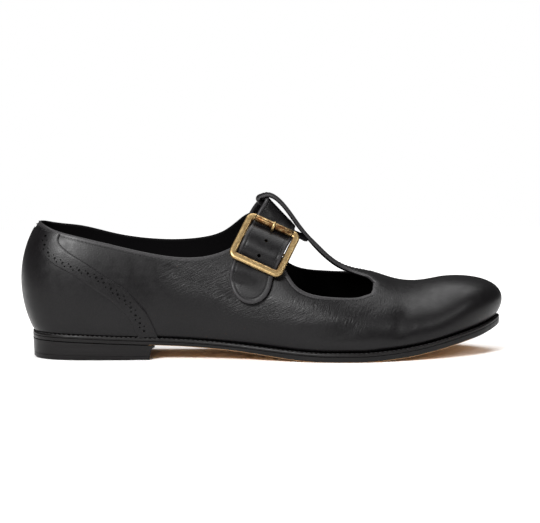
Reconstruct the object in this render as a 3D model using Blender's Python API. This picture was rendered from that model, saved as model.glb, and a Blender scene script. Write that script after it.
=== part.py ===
"""Right shoe with an instep bar and a buckled cross strap, on a flat stacked heel.

+X is the toe, +Y the inner side of the foot and +Z up. The origin is on the floor, at the middle
of the heel's tread. Every curved piece is worked out from one last: a closed form whose profile
lines run from the feather line, where wall and sole meet, up to the ridge of the instep.
"""

import math

import bmesh
import bpy
import numpy as np

MM = 0.001

# Driving sizes
LENGTH = 263 * MM  # back of the heel to the front of the feather line at the toe
BALL_WIDTH = 80.5 * MM  # feather line to feather line across the ball
UPPER_HEIGHT = 60 * MM  # heel seat to the topline at the back
HEEL_RISE = 9.7 * MM  # how much higher the feather line is at the back than at the ball
TOE_SPRING = 14.7 * MM  # how much higher it is at the tip of the toe
ORIGIN_BACK = 38 * MM  # back of the heel to the origin

WALL = 1.8 * MM  # upper leather with its lining
GAP = 0.3 * MM  # left between pieces that meet
OUTSOLE = 3.0 * MM
WAIST_OUTSOLE = 1.9 * MM  # the outsole is thinner from the waist back
WELT = 1.5 * MM
WELT_WIDTH = 9 * MM
WELT_MARGIN = 2.5 * MM  # sole beyond the feather line at the forefoot
HEEL_MARGIN = 1.2 * MM  # sole beyond the feather line at waist and heel
INSOLE = 2.2 * MM  # above the feather line
COUNTER = 0.7 * MM
COUNTER_GAP = 0.4 * MM  # a little more than GAP, because both faces are hollow here
EDGE_ROUND = 0.5 * MM

HEEL_BREAST = 70 * MM  # back of the heel to the front of its tread
BREAST_FLARE = 2.5 * MM  # the breast curves forward this much at its top
BREAST_FILLET = 5 * MM  # height of that curve
HEEL_TAPER = 0.6 * MM  # the heel's sides come in this much at the tread

BAR_HALF_WIDTH = 7 * MM
BAR_WALL = 2.6 * MM  # the bar is thicker than the rest of the upper
BAR_CROWN = 0.9 * MM
BAR_FADE = 12 * MM  # along the bar, from the foot's own section to an even one
BAR_START = 0.654  # share of LENGTH where the bar leaves the last

STRAP_WIDTH = 23.4 * MM
STRAP = 2.0 * MM
STRAP_HOLE_RADIUS = 1.0 * MM
PRONG_HOLE_RADIUS = 1.3 * MM
STRAP_HOLE_PITCH = 8.6 * MM

FRAME_WIDTH = 31 * MM
FRAME_LENGTH = 29.4 * MM
FRAME_CORNER = 4.2 * MM
FRAME_BAR = 3.3 * MM
FRAME_THICKNESS = 2.6 * MM
FRAME_LIFT = 3.6 * MM  # frame's mid plane above the outer face of the upper
ROLLER_RADIUS = 1.7 * MM
ROLLER_BORE = 1.15 * MM
ROLLER_LENGTH = 22.0 * MM
ROLLER_BAR_RADIUS = 0.85 * MM
CENTRE_BAR_RADIUS = 0.8 * MM
CENTRE_BAR_DROP = 1.2 * MM
PRONG_RADIUS = 0.8 * MM
CHAPE = 0.8 * MM
CHAPE_WIDTH = 18 * MM
CHAPE_LENGTH = 5.5 * MM
CHAPE_SLOT = 4.6 * MM

# Feather line. along: share of LENGTH. outer, inner: shares of BALL_WIDTH from the middle line.
FEATHER = [
    # along, outer, inner
    (0.030, 0.000, 0.000),
    (0.039, 0.150, 0.150),
    (0.062, 0.230, 0.230),
    (0.100, 0.280, 0.280),
    (0.160, 0.302, 0.295),
    (0.250, 0.308, 0.270),
    (0.380, 0.329, 0.240),
    (0.460, 0.376, 0.267),
    (0.540, 0.442, 0.329),
    (0.610, 0.494, 0.398),
    (0.670, 0.519, 0.451),
    (0.730, 0.512, 0.478),
    (0.790, 0.472, 0.470),
    (0.850, 0.410, 0.432),
    (0.905, 0.323, 0.366),
    (0.948, 0.224, 0.289),
    (0.980, 0.114, 0.199),
    (0.996, 0.020, 0.115),
]
# Front of the feather line: share of LENGTH, and share of BALL_WIDTH towards the inner side.
TOE_TIP = (1.000, 0.045)

# Height of the feather line. heel: share of HEEL_RISE. toe: share of TOE_SPRING.
SEAT = [
    # along, heel, toe
    (0.000, 1.00, 0.00),
    (0.095, 0.93, 0.00),
    (0.190, 0.82, 0.00),
    (0.262, 0.74, 0.00),
    (0.331, 0.66, 0.00),
    (0.407, 0.51, 0.00),
    (0.483, 0.31, 0.00),
    (0.559, 0.10, 0.00),
    (0.620, 0.00, 0.00),
    (0.703, 0.00, 0.00),
    (0.741, 0.00, 0.04),
    (0.783, 0.00, 0.11),
    (0.833, 0.00, 0.24),
    (0.882, 0.00, 0.42),
    (0.932, 0.00, 0.63),
    (0.970, 0.00, 0.81),
    (1.000, 0.00, 1.00),
]

# Ridge of the last. rise: share of UPPER_HEIGHT above the feather line. inward: share of BALL_WIDTH.
RIDGE = [
    # along, rise, inward
    (0.129, 1.310, 0.000),
    (0.228, 1.305, 0.000),
    (0.342, 1.300, 0.000),
    (0.418, 1.275, 0.000),
    (0.494, 1.217, 0.000),
    (0.544, 1.130, 0.000),
    (0.589, 0.993, 0.008),
    (0.627, 0.890, 0.018),
    (0.665, 0.758, 0.030),
    (0.703, 0.688, 0.042),
    (0.741, 0.644, 0.050),
    (0.783, 0.568, 0.050),
    (0.833, 0.513, 0.047),
    (0.882, 0.506, 0.045),
]

# Handles of the profile lines. lean, run: shares of BALL_WIDTH. rise, drop: shares of UPPER_HEIGHT.
# A line leaves the feather line along (lean out, rise up) and reaches the ridge from (run out, drop down).
PROFILE = [
    # along, outer lean, rise, run, inner lean, rise, run, drop
    (0.024, 0.156, 0.367, 0.474, 0.156, 0.367, 0.474, 0.267),
    (0.046, 0.138, 0.367, 0.418, 0.138, 0.367, 0.418, 0.242),
    (0.076, 0.112, 0.383, 0.348, 0.106, 0.383, 0.348, 0.200),
    (0.129, 0.099, 0.400, 0.298, 0.093, 0.400, 0.298, 0.167),
    (0.228, 0.099, 0.400, 0.286, 0.087, 0.417, 0.273, 0.150),
    (0.342, 0.093, 0.417, 0.286, 0.099, 0.433, 0.273, 0.117),
    (0.494, 0.087, 0.450, 0.273, 0.093, 0.450, 0.261, 0.075),
    (0.544, 0.099, 0.417, 0.273, 0.099, 0.417, 0.273, 0.050),
    (0.589, 0.106, 0.383, 0.286, 0.099, 0.400, 0.286, 0.025),
    (0.627, 0.112, 0.350, 0.311, 0.099, 0.367, 0.305, 0.008),
    (0.665, 0.112, 0.325, 0.323, 0.099, 0.350, 0.330, 0.000),
    (0.703, 0.106, 0.300, 0.323, 0.093, 0.333, 0.340, 0.000),
    (0.783, 0.087, 0.250, 0.311, 0.081, 0.265, 0.320, 0.000),
    (0.882, 0.090, 0.220, 0.275, 0.090, 0.220, 0.275, 0.000),
    (0.932, 0.112, 0.240, 0.345, 0.112, 0.240, 0.345, -0.020),
    (1.000, 0.125, 0.215, 0.395, 0.125, 0.215, 0.395, -0.040),
]

# Rims of the upper, from the back to the front end of the side openings. Heights: shares of UPPER_HEIGHT
# above the feather line.
OUTER_RIM = [
    # along, height
    (0.026, 1.003),
    (0.059, 0.945),
    (0.099, 0.906),
    (0.184, 0.841),
    (0.262, 0.777),
    (0.330, 0.747),
    (0.394, 0.785),
    (0.432, 0.858),
    (0.460, 0.925),
    (0.485, 0.953),
    (0.505, 0.935),
    (0.525, 0.868),
    (0.545, 0.740),
    (0.562, 0.620),
    (0.585, 0.545),
    (0.620, 0.512),
    (0.665, 0.493),
    (0.700, 0.492),
    (0.720, 0.507),
    (0.730, 0.537),
    (0.735, 0.590),
]
INNER_RIM = [
    # along, height
    (0.026, 1.003),
    (0.059, 0.968),
    (0.118, 0.942),
    (0.205, 0.873),
    (0.274, 0.840),
    (0.331, 0.841),
    (0.376, 0.868),
    (0.403, 0.900),
    (0.433, 0.968),
    (0.460, 1.078),
    (0.484, 1.158),
    (0.501, 1.122),
    (0.515, 1.025),
    (0.532, 0.905),
    (0.551, 0.775),
    (0.578, 0.680),
    (0.620, 0.640),
    (0.677, 0.630),
    (0.712, 0.640),
    (0.735, 0.652),
]

# Top edge of the counter, the same on both sides.
COUNTER_EDGE = [
    # along, height
    (0.026, 0.930),
    (0.050, 0.885),
    (0.066, 0.800),
    (0.085, 0.730),
    (0.143, 0.590),
    (0.192, 0.485),
    (0.232, 0.345),
    (0.260, 0.200),
    (0.281, 0.035),
]

# Half width of the bar where it grows out of the vamp: shares of the way from BAR_HALF_WIDTH to
# the front end of the side openings.
BAR_FLARE = [
    # along, share
    (0.654, 0.00),
    (0.679, 0.02),
    (0.701, 0.20),
    (0.715, 0.38),
    (0.727, 0.60),
    (0.735, 1.00),
]

# Top line of the bar in side view, from the vamp up, round the roll at its end and back below the strap.
# height: share of UPPER_HEIGHT above the feather line of the ball.
BAR_PATH = [
    # along, height
    (0.628, 0.900),
    (0.608, 0.988),
    (0.590, 1.080),
    (0.574, 1.178),
    (0.557, 1.278),
    (0.541, 1.352),
    (0.530, 1.385),
    (0.519, 1.398),
    (0.508, 1.389),
    (0.500, 1.366),
    (0.499, 1.334),
    (0.507, 1.298),
    (0.521, 1.242),
    (0.535, 1.178),
    (0.547, 1.112),
    (0.561, 1.044),
    (0.580, 1.006),
    (0.600, 0.963),
]
BAR_CROSSING = 0.556  # share of LENGTH where the strap's middle line crosses the bar's
BAR_GRIP = 0.97  # share of the strap's half width at which it touches the bar's underside

# Middle line of the strap over the last, from its sewn end on the inner quarter to its free end.
# turn: 0 at the outer feather line, 1 at the ridge, 2 at the inner feather line.
# lift: distance of the strap's middle from the upper's outer face, in thicknesses of the strap.
STRAP_INSIDE = [
    # turn, along, lift
    (1.52, 0.480, 0.80),
    (1.42, 0.497, 0.80),
    (1.30, 0.513, 0.95),
    (1.16, 0.527, 2.90),
]
STRAP_END = [
    # turn, along, lift
    (0.36, 0.472, 1.00),
    (0.265, 0.455, 1.50),
]
BUCKLE_AT = (0.605, 0.503)  # turn and share along at the middle of the buckle
BUCKLE_ABOVE = (0.80, 0.528)  # where the buckle's upward axis points
TIP_ROUND = 12.5 * MM
STRAP_EDGE = 0.7 * MM

STATIONS = 40  # profile lines from heel to toe
OPEN_BACK = 0.42  # from here to the front end of the side openings there are twice as many
WALL_ROWS = 7
TOP_ROWS = 4
EPSILON = 1e-4


def column(rows, index):
    return np.array([row[index] for row in rows])


def cubic(knots, values, closed=False):
    """Function of the cubic spline through values at knots, which also works for rows of coordinates."""
    values = np.asarray(values, float)
    flat = values.reshape(len(values), -1)
    count = len(knots)
    steps = np.diff(knots)
    matrix = np.eye(count)
    right = np.zeros((count, flat.shape[1]))
    for i in range(1, count - 1):
        matrix[i, i - 1 : i + 2] = steps[i - 1], 2 * (steps[i - 1] + steps[i]), steps[i]
        right[i] = 6 * ((flat[i + 1] - flat[i]) / steps[i] - (flat[i] - flat[i - 1]) / steps[i - 1])
    if closed:
        matrix[0] = 0
        matrix[0, [count - 2, 0, 1]] = steps[-1], 2 * (steps[-1] + steps[0]), steps[0]
        right[0] = 6 * ((flat[1] - flat[0]) / steps[0] - (flat[-1] - flat[-2]) / steps[-1])
        matrix[-1] = 0
        matrix[-1, [0, -1]] = 1, -1
    bends = np.linalg.solve(matrix, right)

    def at(where):
        where = np.asarray(where, float)
        cell = np.clip(np.searchsorted(knots, where) - 1, 0, count - 2)
        step = steps[cell][..., None]
        a = (np.asarray(knots)[cell + 1] - where)[..., None] / step
        b = 1 - a
        bent = ((a**3 - a) * bends[cell] + (b**3 - b) * bends[cell + 1]) * step**2 / 6
        found = a * flat[cell] + b * flat[cell + 1] + bent
        return found.reshape(where.shape + values.shape[1:])

    return at


def table(rows, index):
    """Function of the share along the shoe, from one column of a table."""
    return cubic(column(rows, 0), column(rows, index))


def smooth(low, high, where):
    """0 before low and 1 after high, with a soft step between."""
    share = np.clip((where - low) / (high - low), 0, 1)
    return share * share * (3 - 2 * share)


# Feather line

FEATHER_SAMPLES = 4001


def feather_sides():
    """Outer and inner half of the closed feather line as dense (along, across) rows, back to tip."""
    along = column(FEATHER, 0)
    outer = np.stack([along, -column(FEATHER, 1)], axis=1)
    inner = np.stack([along, column(FEATHER, 2)], axis=1)[1:]
    loop = np.concatenate([outer, [TOE_TIP], inner[::-1], outer[:1]]) * (LENGTH, BALL_WIDTH)
    knots = np.concatenate([[0], np.cumsum(np.linalg.norm(np.diff(loop, axis=0), axis=1))])
    dense = cubic(knots, loop, closed=True)(np.linspace(0, knots[-1], FEATHER_SAMPLES))[:-1]
    dense = np.roll(dense, -int(dense[:, 0].argmin()), axis=0)
    tip = int(dense[:, 0].argmax())
    return dense[: tip + 1], np.concatenate([dense[:1], dense[tip:][::-1]])


SIDES = dict(zip((-1, 1), feather_sides()))
BACK = SIDES[-1][0, 0] / LENGTH
TIP = SIDES[-1][-1, 0] / LENGTH
FRONT_END = OUTER_RIM[-1][0]
BALL_SEAT = OUTSOLE + WELT + 2 * GAP


def seat(along):
    """Height of the feather line above the floor, level along the flat spot of the tread."""
    heel = np.maximum(table(SEAT, 1)(along), 0)
    toe = np.maximum(table(SEAT, 2)(along), 0)
    return BALL_SEAT + HEEL_RISE * heel + TOE_SPRING * toe


def feather(side, along, margin=0.0):
    """Plan points (x, y) of the feather line on one side, moved outwards by a margin."""
    rows = SIDES[side]
    ends = np.gradient(rows, axis=0)
    ends[0] = (0, side)
    ends[-1] = (0, -side)
    ends /= np.linalg.norm(ends, axis=1)[:, None]
    outward = np.stack([-ends[:, 1], ends[:, 0]], axis=1) * side
    x = np.clip(along, BACK, TIP) * LENGTH
    place = np.stack([np.interp(x, rows[:, 0], rows[:, i]) for i in (0, 1)], axis=-1)
    away = np.stack([np.interp(x, rows[:, 0], outward[:, i]) for i in (0, 1)], axis=-1)
    away /= np.linalg.norm(away, axis=-1)[..., None]
    return place + away * np.asarray(margin)[..., None]


# The last

FAN_BACK = 0.25
FAN_FRONT = 0.75


def ridge_share(along):
    """Share along at which a profile line meets the ridge: the lines fan out round heel and toe."""
    back = (RIDGE[0][0] - BACK) / (FAN_BACK - BACK) ** 2
    front = (TIP - RIDGE[-1][0]) / (TIP - FAN_FRONT) ** 2
    behind = np.clip(FAN_BACK - along, 0, None)
    ahead = np.clip(along - FAN_FRONT, 0, None)
    return along + back * behind**2 - front * ahead**2


def ridge(along):
    rise = table(RIDGE, 1)(along) * UPPER_HEIGHT + seat(along)
    return np.stack([along * LENGTH, table(RIDGE, 2)(along) * BALL_WIDTH, rise], axis=-1)


def last(side, along, v):
    """Point of the last: share v of the way up the profile line from the feather line to the ridge.

    The line is a cubic Bezier curve in the upright plane through its two ends.
    """
    along, v = np.broadcast_arrays(np.asarray(along, float), np.asarray(v, float))
    low = np.concatenate([feather(side, along), seat(along)[..., None]], axis=-1)
    high = ridge(ridge_share(along))
    out = (low - high) * (1, 1, 0)
    out /= np.linalg.norm(out, axis=-1)[..., None]
    first = 1 if side < 0 else 4
    lean, rise, run = (table(PROFILE, first + i)(along)[..., None] for i in range(3))
    drop = table(PROFILE, 7)(along)[..., None]
    up = np.array((0, 0, UPPER_HEIGHT))
    low_handle = low + out * lean * BALL_WIDTH + up * rise
    high_handle = high + out * run * BALL_WIDTH - up * drop
    v = v[..., None]
    w = 1 - v
    return w**3 * low + 3 * w * w * v * low_handle + 3 * w * v * v * high_handle + v**3 * high


def last_normal(side, along, v):
    """Outward unit normal of the last, from small steps along it and up it."""
    along, v = np.broadcast_arrays(np.asarray(along, float), np.asarray(v, float))
    a = np.clip(along, BACK + 2 * EPSILON, TIP - 2 * EPSILON)
    b = np.clip(v, EPSILON, 1 - EPSILON)
    forward = last(side, a + EPSILON, b) - last(side, a - EPSILON, b)
    upward = last(side, a, b + EPSILON) - last(side, a, b - EPSILON)
    normal = np.cross(forward, upward) * -side
    return normal / np.linalg.norm(normal, axis=-1)[..., None]


def rise_to_v(side, along, height):
    """Share v at which each profile line reaches a height, in shares of UPPER_HEIGHT above its foot."""
    along, height = np.broadcast_arrays(np.asarray(along, float), np.asarray(height, float))
    v = np.linspace(0, 1, 201)
    z = last(side, along[..., None], v)[..., 2] - seat(along)[..., None]
    wanted = height * UPPER_HEIGHT
    found = [np.interp(w, row, v) for w, row in zip(wanted.ravel(), z.reshape(-1, len(v)))]
    return np.array(found).reshape(along.shape)


def stations(first, end):
    """Shares along from first to end, out of a spacing finer round heel and toe and at the side openings."""
    full = (BACK + TIP) / 2 - (TIP - BACK) / 2 * np.cos(np.linspace(0, math.pi, STATIONS + 1))
    between = (full[1:] + full[:-1]) / 2
    middle = between[(between > OPEN_BACK) & (between < FRONT_END)]
    full = np.sort(np.concatenate([full, middle]))
    margin = 0.2 / STATIONS
    inside = full[(full > first + margin * (first > BACK)) & (full < end - margin * (end < TIP))]
    inside = inside[(inside > first) & (inside < end)]
    return np.concatenate([[first], inside, [end]])


# Meshes

def make(name, points, faces, colour, roughness, metallic=0.0):
    """Object from points and faces, with its own material, moved so that the origin is under the heel."""
    mesh = bpy.data.meshes.new(name)
    mesh.from_pydata((np.asarray(points) - (ORIGIN_BACK, 0, 0)).tolist(), [], faces)
    tool = bmesh.new()
    tool.from_mesh(mesh)
    bmesh.ops.remove_doubles(tool, verts=tool.verts, dist=2e-6)
    bmesh.ops.dissolve_degenerate(tool, edges=tool.edges, dist=1e-7)
    bmesh.ops.recalc_face_normals(tool, faces=tool.faces)
    tool.to_mesh(mesh)
    tool.free()
    obj = bpy.data.objects.new(name, mesh)
    bpy.context.scene.collection.objects.link(obj)
    mesh.shade_smooth()
    mesh.set_sharp_from_angle(angle=math.radians(35))
    material = bpy.data.materials.new(name)
    material.use_nodes = True
    shader = material.node_tree.nodes["Principled BSDF"]
    shader.inputs["Base Color"].default_value = (*colour, 1)
    shader.inputs["Roughness"].default_value = roughness
    shader.inputs["Metallic"].default_value = metallic
    mesh.materials.append(material)
    return obj


def grid_faces(rows, columns, start=0, closed=False):
    """Quads of a grid of points stored row by row, with columns that may close on themselves."""
    faces = []
    for i in range(rows - 1):
        for j in range(columns if closed else columns - 1):
            k = (j + 1) % columns
            a = start + i * columns
            faces.append((a + j, a + k, a + columns + k, a + columns + j))
    return faces


def cut_with(obj, cutter, operation="DIFFERENCE"):
    cutter.hide_render = True
    cutter.display_type = "WIRE"
    modifier = obj.modifiers.new(operation.lower(), "BOOLEAN")
    modifier.operation = operation
    modifier.object = cutter


def sheet(name, patches, colour, roughness):
    """Solid with a wall from open grids that share edges.

    Each patch is a grid of points on the outer face and the wall's thickness at each of its rows.
    """
    tool = bmesh.new()
    wall = tool.verts.layers.float.new("wall")
    for grid, thickness in patches:
        rows, columns = grid.shape[:2]
        verts = [tool.verts.new(p) for p in grid.reshape(-1, 3)]
        for vert, value in zip(verts, np.repeat(np.broadcast_to(thickness, rows), columns)):
            vert[wall] = value
        for face in grid_faces(rows, columns):
            tool.faces.new([verts[i] for i in face[::-1]])
    bmesh.ops.remove_doubles(tool, verts=tool.verts, dist=2e-6)
    bmesh.ops.dissolve_degenerate(tool, edges=tool.edges, dist=1e-7)
    tool.normal_update()
    tool.verts.ensure_lookup_table()
    tool.verts.index_update()
    outer = np.array([v.co for v in tool.verts])
    depth = np.array([v.normal * v[wall] for v in tool.verts])
    faces = [[v.index for v in face.verts] for face in tool.faces]
    rims = [(loop.vert.index, loop.link_loop_next.vert.index)
            for edge in tool.edges if edge.is_boundary for loop in edge.link_loops]
    tool.free()
    count = len(outer)
    inner_faces = [[i + count for i in face[::-1]] for face in faces]
    rim_faces = [(b, a, a + count, b + count) for a, b in rims]
    points = np.concatenate([outer, outer - depth])
    return make(name, points, faces + inner_faces + rim_faces, colour, roughness)


BLACK = (0.012, 0.012, 0.013)
BRASS = (0.47, 0.33, 0.14)
TAN = (0.42, 0.24, 0.11)


# Upper

def wall_grid(side, along, low, high):
    """Grid over the last between two lines of v, feather line side first."""
    v = low[:, None] + (high - low)[:, None] * np.linspace(0, 1, WALL_ROWS + 1)
    return last(side, along[:, None], v)


def vamp_grid(side, along):
    """Grid from the front ends of the side openings to the toe, feather line to ridge."""
    rim = rise_to_v(side, FRONT_END, (OUTER_RIM if side < 0 else INNER_RIM)[-1][1])
    v = np.concatenate([np.linspace(0, rim, WALL_ROWS + 1), np.linspace(rim, 1, TOP_ROWS + 1)[1:]])
    return last(side, along[:, None], v)


def join_sides(outer, inner, row):
    """The two sides as patches that share one row, with the inner one turned so that both face outwards."""
    inner[row] = outer[row]
    return outer, inner[::-1]


def along_profile(side, along, distance):
    """Share v at a distance from the ridge, measured along the profile line."""
    v = np.linspace(1, 0, 401)
    line = last(side, along, v)
    length = np.concatenate([[0], np.cumsum(np.linalg.norm(np.diff(line, axis=0), axis=1))])
    return np.interp(distance, length, v)


def distance_to_ridge(side, along, v):
    line = last(side, along, np.linspace(v, 1, 200))
    return np.linalg.norm(np.diff(line, axis=0), axis=1).sum()


def flare_grid():
    """Grid of the bar's foot on the vamp, as rows of points from its outer to its inner edge."""
    share = np.linspace(0, 1, TOP_ROWS + 1)
    rows = []
    for along in np.linspace(BAR_START, FRONT_END, 12):
        row = []
        for side in (-1, 1):
            tip_v = rise_to_v(side, FRONT_END, (OUTER_RIM if side < 0 else INNER_RIM)[-1][1])
            reach = distance_to_ridge(side, FRONT_END, tip_v)
            half = BAR_HALF_WIDTH + (reach - BAR_HALF_WIDTH) * float(table(BAR_FLARE, 1)(along))
            if along == FRONT_END:
                v = np.linspace(tip_v, 1, TOP_ROWS + 1)
            else:
                v = along_profile(side, along, half * (1 - share))
            line = last(side, along, v)
            row.append(line if side < 0 else line[::-1][1:])
        rows.append(np.concatenate(row))
    return np.array(rows)


def bar_line():
    """Knots and points (x, z) of the bar's top line, with two points of the ridge before its first row."""
    before = ridge(np.array([BAR_START + 0.02, BAR_START]))[:, [0, 2]]
    rows = np.array(BAR_PATH) * (LENGTH, UPPER_HEIGHT) + (0, BALL_SEAT)
    points = np.concatenate([before, rows])
    knots = np.concatenate([[0], np.cumsum(np.linalg.norm(np.diff(points, axis=0), axis=1))])
    return knots, points


def bar_at(where):
    """Place, direction and outward normal of the bar's top line, in the shoe's middle plane."""
    knots, points = bar_line()
    line = cubic(knots, points)
    step = 0.05 * MM
    place = line(where)
    way = line(np.asarray(where) + step) - line(np.asarray(where) - step)
    way /= np.linalg.norm(way, axis=-1)[..., None]
    across = table(RIDGE, 2)(np.clip(place[..., 0] / LENGTH, 0.5, BAR_START)) * BALL_WIDTH
    centre = np.stack([place[..., 0], across, place[..., 1]], axis=-1)
    zero = np.zeros_like(across)
    direction = np.stack([way[..., 0], zero, way[..., 1]], axis=-1)
    normal = np.stack([way[..., 1], zero, -way[..., 0]], axis=-1)
    return centre, direction, normal


def bar_grid(foot):
    """Grid of the bar above its foot: the crown of the foot's last row fades into an even one."""
    knots, _ = bar_line()
    where = np.sort(np.concatenate([knots[1:], (knots[1:-1] + knots[2:]) / 2]))
    centre, _, normal = bar_at(where)
    share = np.linspace(-1, 1, 2 * TOP_ROWS + 1)
    even = centre[:, None] + share[:, None] * (0, BAR_HALF_WIDTH, 0)
    facing = normal @ normal[len(normal) // 4]
    crown = BAR_CROWN * facing * (1.5 - 0.5 * facing)
    even = even - (normal * crown[:, None])[:, None] * (share**2)[:, None]
    fade = smooth(0, BAR_FADE, where - where[0])[:, None, None]
    start = foot + (centre - centre[0])[:, None]
    return (start * (1 - fade) + even * fade)[::-1]


def make_upper():
    back = stations(BACK, FRONT_END)
    front = stations(FRONT_END, TIP)
    walls = []
    for side, rim in ((-1, OUTER_RIM), (1, INNER_RIM)):
        top = rise_to_v(side, back, table(rim, 1)(back))
        walls.append(wall_grid(side, back, np.zeros_like(top), top))
    patches = [(grid, WALL) for grid in join_sides(*walls, 0)]
    patches += [(grid, WALL) for grid in join_sides(vamp_grid(-1, front), vamp_grid(1, front), -1)]
    flare = flare_grid()
    bar = bar_grid(flare[0])
    thicker = BAR_WALL - WALL
    patches.append((flare, WALL + thicker * smooth(1, 0, np.linspace(0, 1, len(flare)))))
    from_end = np.linspace(0, 1, len(bar))
    patches.append((bar, WALL + thicker * smooth(0.86, 0.97, from_end)))
    return sheet("upper", patches, BLACK, 0.35)


def make_counter():
    """Overlay round the heel: the upper's own face moved out, up to the counter's edge."""
    along = stations(BACK, COUNTER_EDGE[-1][0])
    walls = []
    for side in (-1, 1):
        foot = rise_to_v(side, along, np.full_like(along, 0.01))
        top = rise_to_v(side, along, table(COUNTER_EDGE, 1)(along))
        v = foot[:, None] + (top - foot)[:, None] * np.linspace(0, 1, WALL_ROWS + 1)
        grid = last(side, along[:, None], v) + last_normal(side, along[:, None], v) * (COUNTER_GAP + COUNTER)
        grid[0, :, 1] = 0
        walls.append(grid)
    return sheet("counter", [(grid, COUNTER) for grid in join_sides(*walls, 0)], BLACK, 0.35)


# Sole

def sole_margin(along):
    return HEEL_MARGIN + (WELT_MARGIN - HEEL_MARGIN) * smooth(0.42, 0.62, along)


def ring(along, margin, z, open_front=False):
    """Closed line round the sole: outer side from back to front, then inner side back again."""
    keep = slice(1, None) if open_front else slice(1, -1)
    outer = feather(-1, along, margin)
    inner = feather(1, along, margin)[keep][::-1]
    line = np.concatenate([outer, inner])
    return np.column_stack([line, z(line[:, 0] / LENGTH)])


def slab(name, rings, rows, colour, roughness):
    """Solid between the first and the last ring, which are both closed by strips across the foot."""
    around = len(rings[0])
    faces = grid_faces(len(rings), around, closed=True)
    for start in (0, (len(rings) - 1) * around):
        for i in range(rows - 1):
            corners = i, i + 1, (around - i - 1) % around, (around - i) % around
            face = [start + v for v in corners]
            faces.append([v for n, v in enumerate(face) if v not in face[:n]])
    return make(name, np.concatenate(rings), faces, colour, roughness)


def welt_top(along):
    return seat(along) - GAP


def outsole_top(along):
    return seat(along) - GAP - WELT - GAP


def outsole_bottom(along):
    thickness = WAIST_OUTSOLE + (OUTSOLE - WAIST_OUTSOLE) * smooth(0.42, 0.60, along)
    return outsole_top(along) - thickness


def make_welt():
    """Strip all round the foot, under the edge of the upper."""
    along = stations(BACK, TIP)
    margin = sole_margin(along)
    corners = [
        (margin - WELT_WIDTH, 0.0),
        (margin - EDGE_ROUND, 0.0),
        (margin, EDGE_ROUND),
        (margin, WELT),
        (margin - WELT_WIDTH, WELT),
    ]
    rings = [ring(along, reach, lambda a, down=down: welt_top(a) - down) for reach, down in corners]
    around = len(rings[0])
    faces = grid_faces(len(rings) + 1, around, closed=True)
    count = len(rings) * around
    faces = [[v % count for v in face] for face in faces]
    return make("welt", np.concatenate(rings), faces, BLACK, 0.5)


def make_outsole():
    along = stations(BACK, TIP)
    margin = sole_margin(along)
    rings = [
        ring(along, margin, outsole_top),
        ring(along, margin, lambda a: outsole_bottom(a) + EDGE_ROUND),
        ring(along, margin - EDGE_ROUND, outsole_bottom),
    ]
    return slab("outsole", rings, len(along), TAN, 0.55)


def make_insole():
    along = stations(BACK, TIP)
    inset = -(WALL + 2 * GAP)
    rings = [ring(along, inset, lambda a, up=up: seat(a) + up) for up in (0.5 * GAP, INSOLE)]
    return slab("insole", rings, len(along), BLACK, 0.6)


def make_heel():
    """Block under the heel seat. Its breast is upright below and curves forward at its top."""
    breast = HEEL_BREAST / LENGTH
    flare = BREAST_FLARE / LENGTH
    angles = np.linspace(0, math.pi / 2, 6)
    curve = breast + flare * (1.1 - np.cos(angles))
    along = np.concatenate([stations(BACK, breast), curve])
    top = outsole_bottom(along) - GAP
    low = np.zeros_like(along)
    low[-6:] = top[-6:] - BREAST_FILLET + (BREAST_FILLET - 3 * GAP) * np.sin(angles)
    taper = HEEL_TAPER * (1 - low / top)

    def tread(a):
        return np.interp(a, along, low)

    margin = sole_margin(along)
    rings = [
        ring(along, margin, lambda a: outsole_bottom(a) - GAP, open_front=True),
        ring(along, margin - taper, lambda a: tread(a) + EDGE_ROUND, open_front=True),
        ring(along, margin - taper - EDGE_ROUND, tread, open_front=True),
    ]
    return slab("heel", rings, len(along), BLACK, 0.45)


# Buckle and strap

def over_last(turn, along, height=0.0):
    """Point above the last, and its normal. turn: 0 at the outer edge, 1 at the ridge, 2 inside."""
    side = -1 if turn <= 1 else 1
    v = turn if turn <= 1 else 2 - turn
    normal = last_normal(side, along, v)
    return last(side, along, v) + normal * height, normal


def buckle_axes():
    """Middle of the buckle's frame, and its axes: across the strap, up along it, and away from the foot."""
    centre, normal = over_last(*BUCKLE_AT, FRAME_LIFT)
    above = over_last(*BUCKLE_ABOVE)[0]
    up = above - centre
    up -= normal * up.dot(normal)
    up /= np.linalg.norm(up)
    return centre, np.cross(up, normal), up, normal


def from_buckle(across, up, out):
    """World point from a place in the buckle's own axes."""
    centre, x, y, z = buckle_axes()
    place = np.stack(np.broadcast_arrays(across, up, out), axis=-1)
    return centre + place @ np.array([x, y, z])


ROLLER_UP = (FRAME_LENGTH - FRAME_BAR) / 2
PRONG_HOLE_UP = 0.78 * ROLLER_UP
STRAP_OVER_BAR = -CENTRE_BAR_DROP + CENTRE_BAR_RADIUS + 2 * GAP + CHAPE + STRAP / 2
STRAP_UNDER_ROLLER = -ROLLER_RADIUS - STRAP / 2 - 3.5 * GAP
STRAP_UNDER_FRAME = -FRAME_THICKNESS / 2 - STRAP / 2 - 2 * GAP


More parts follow.
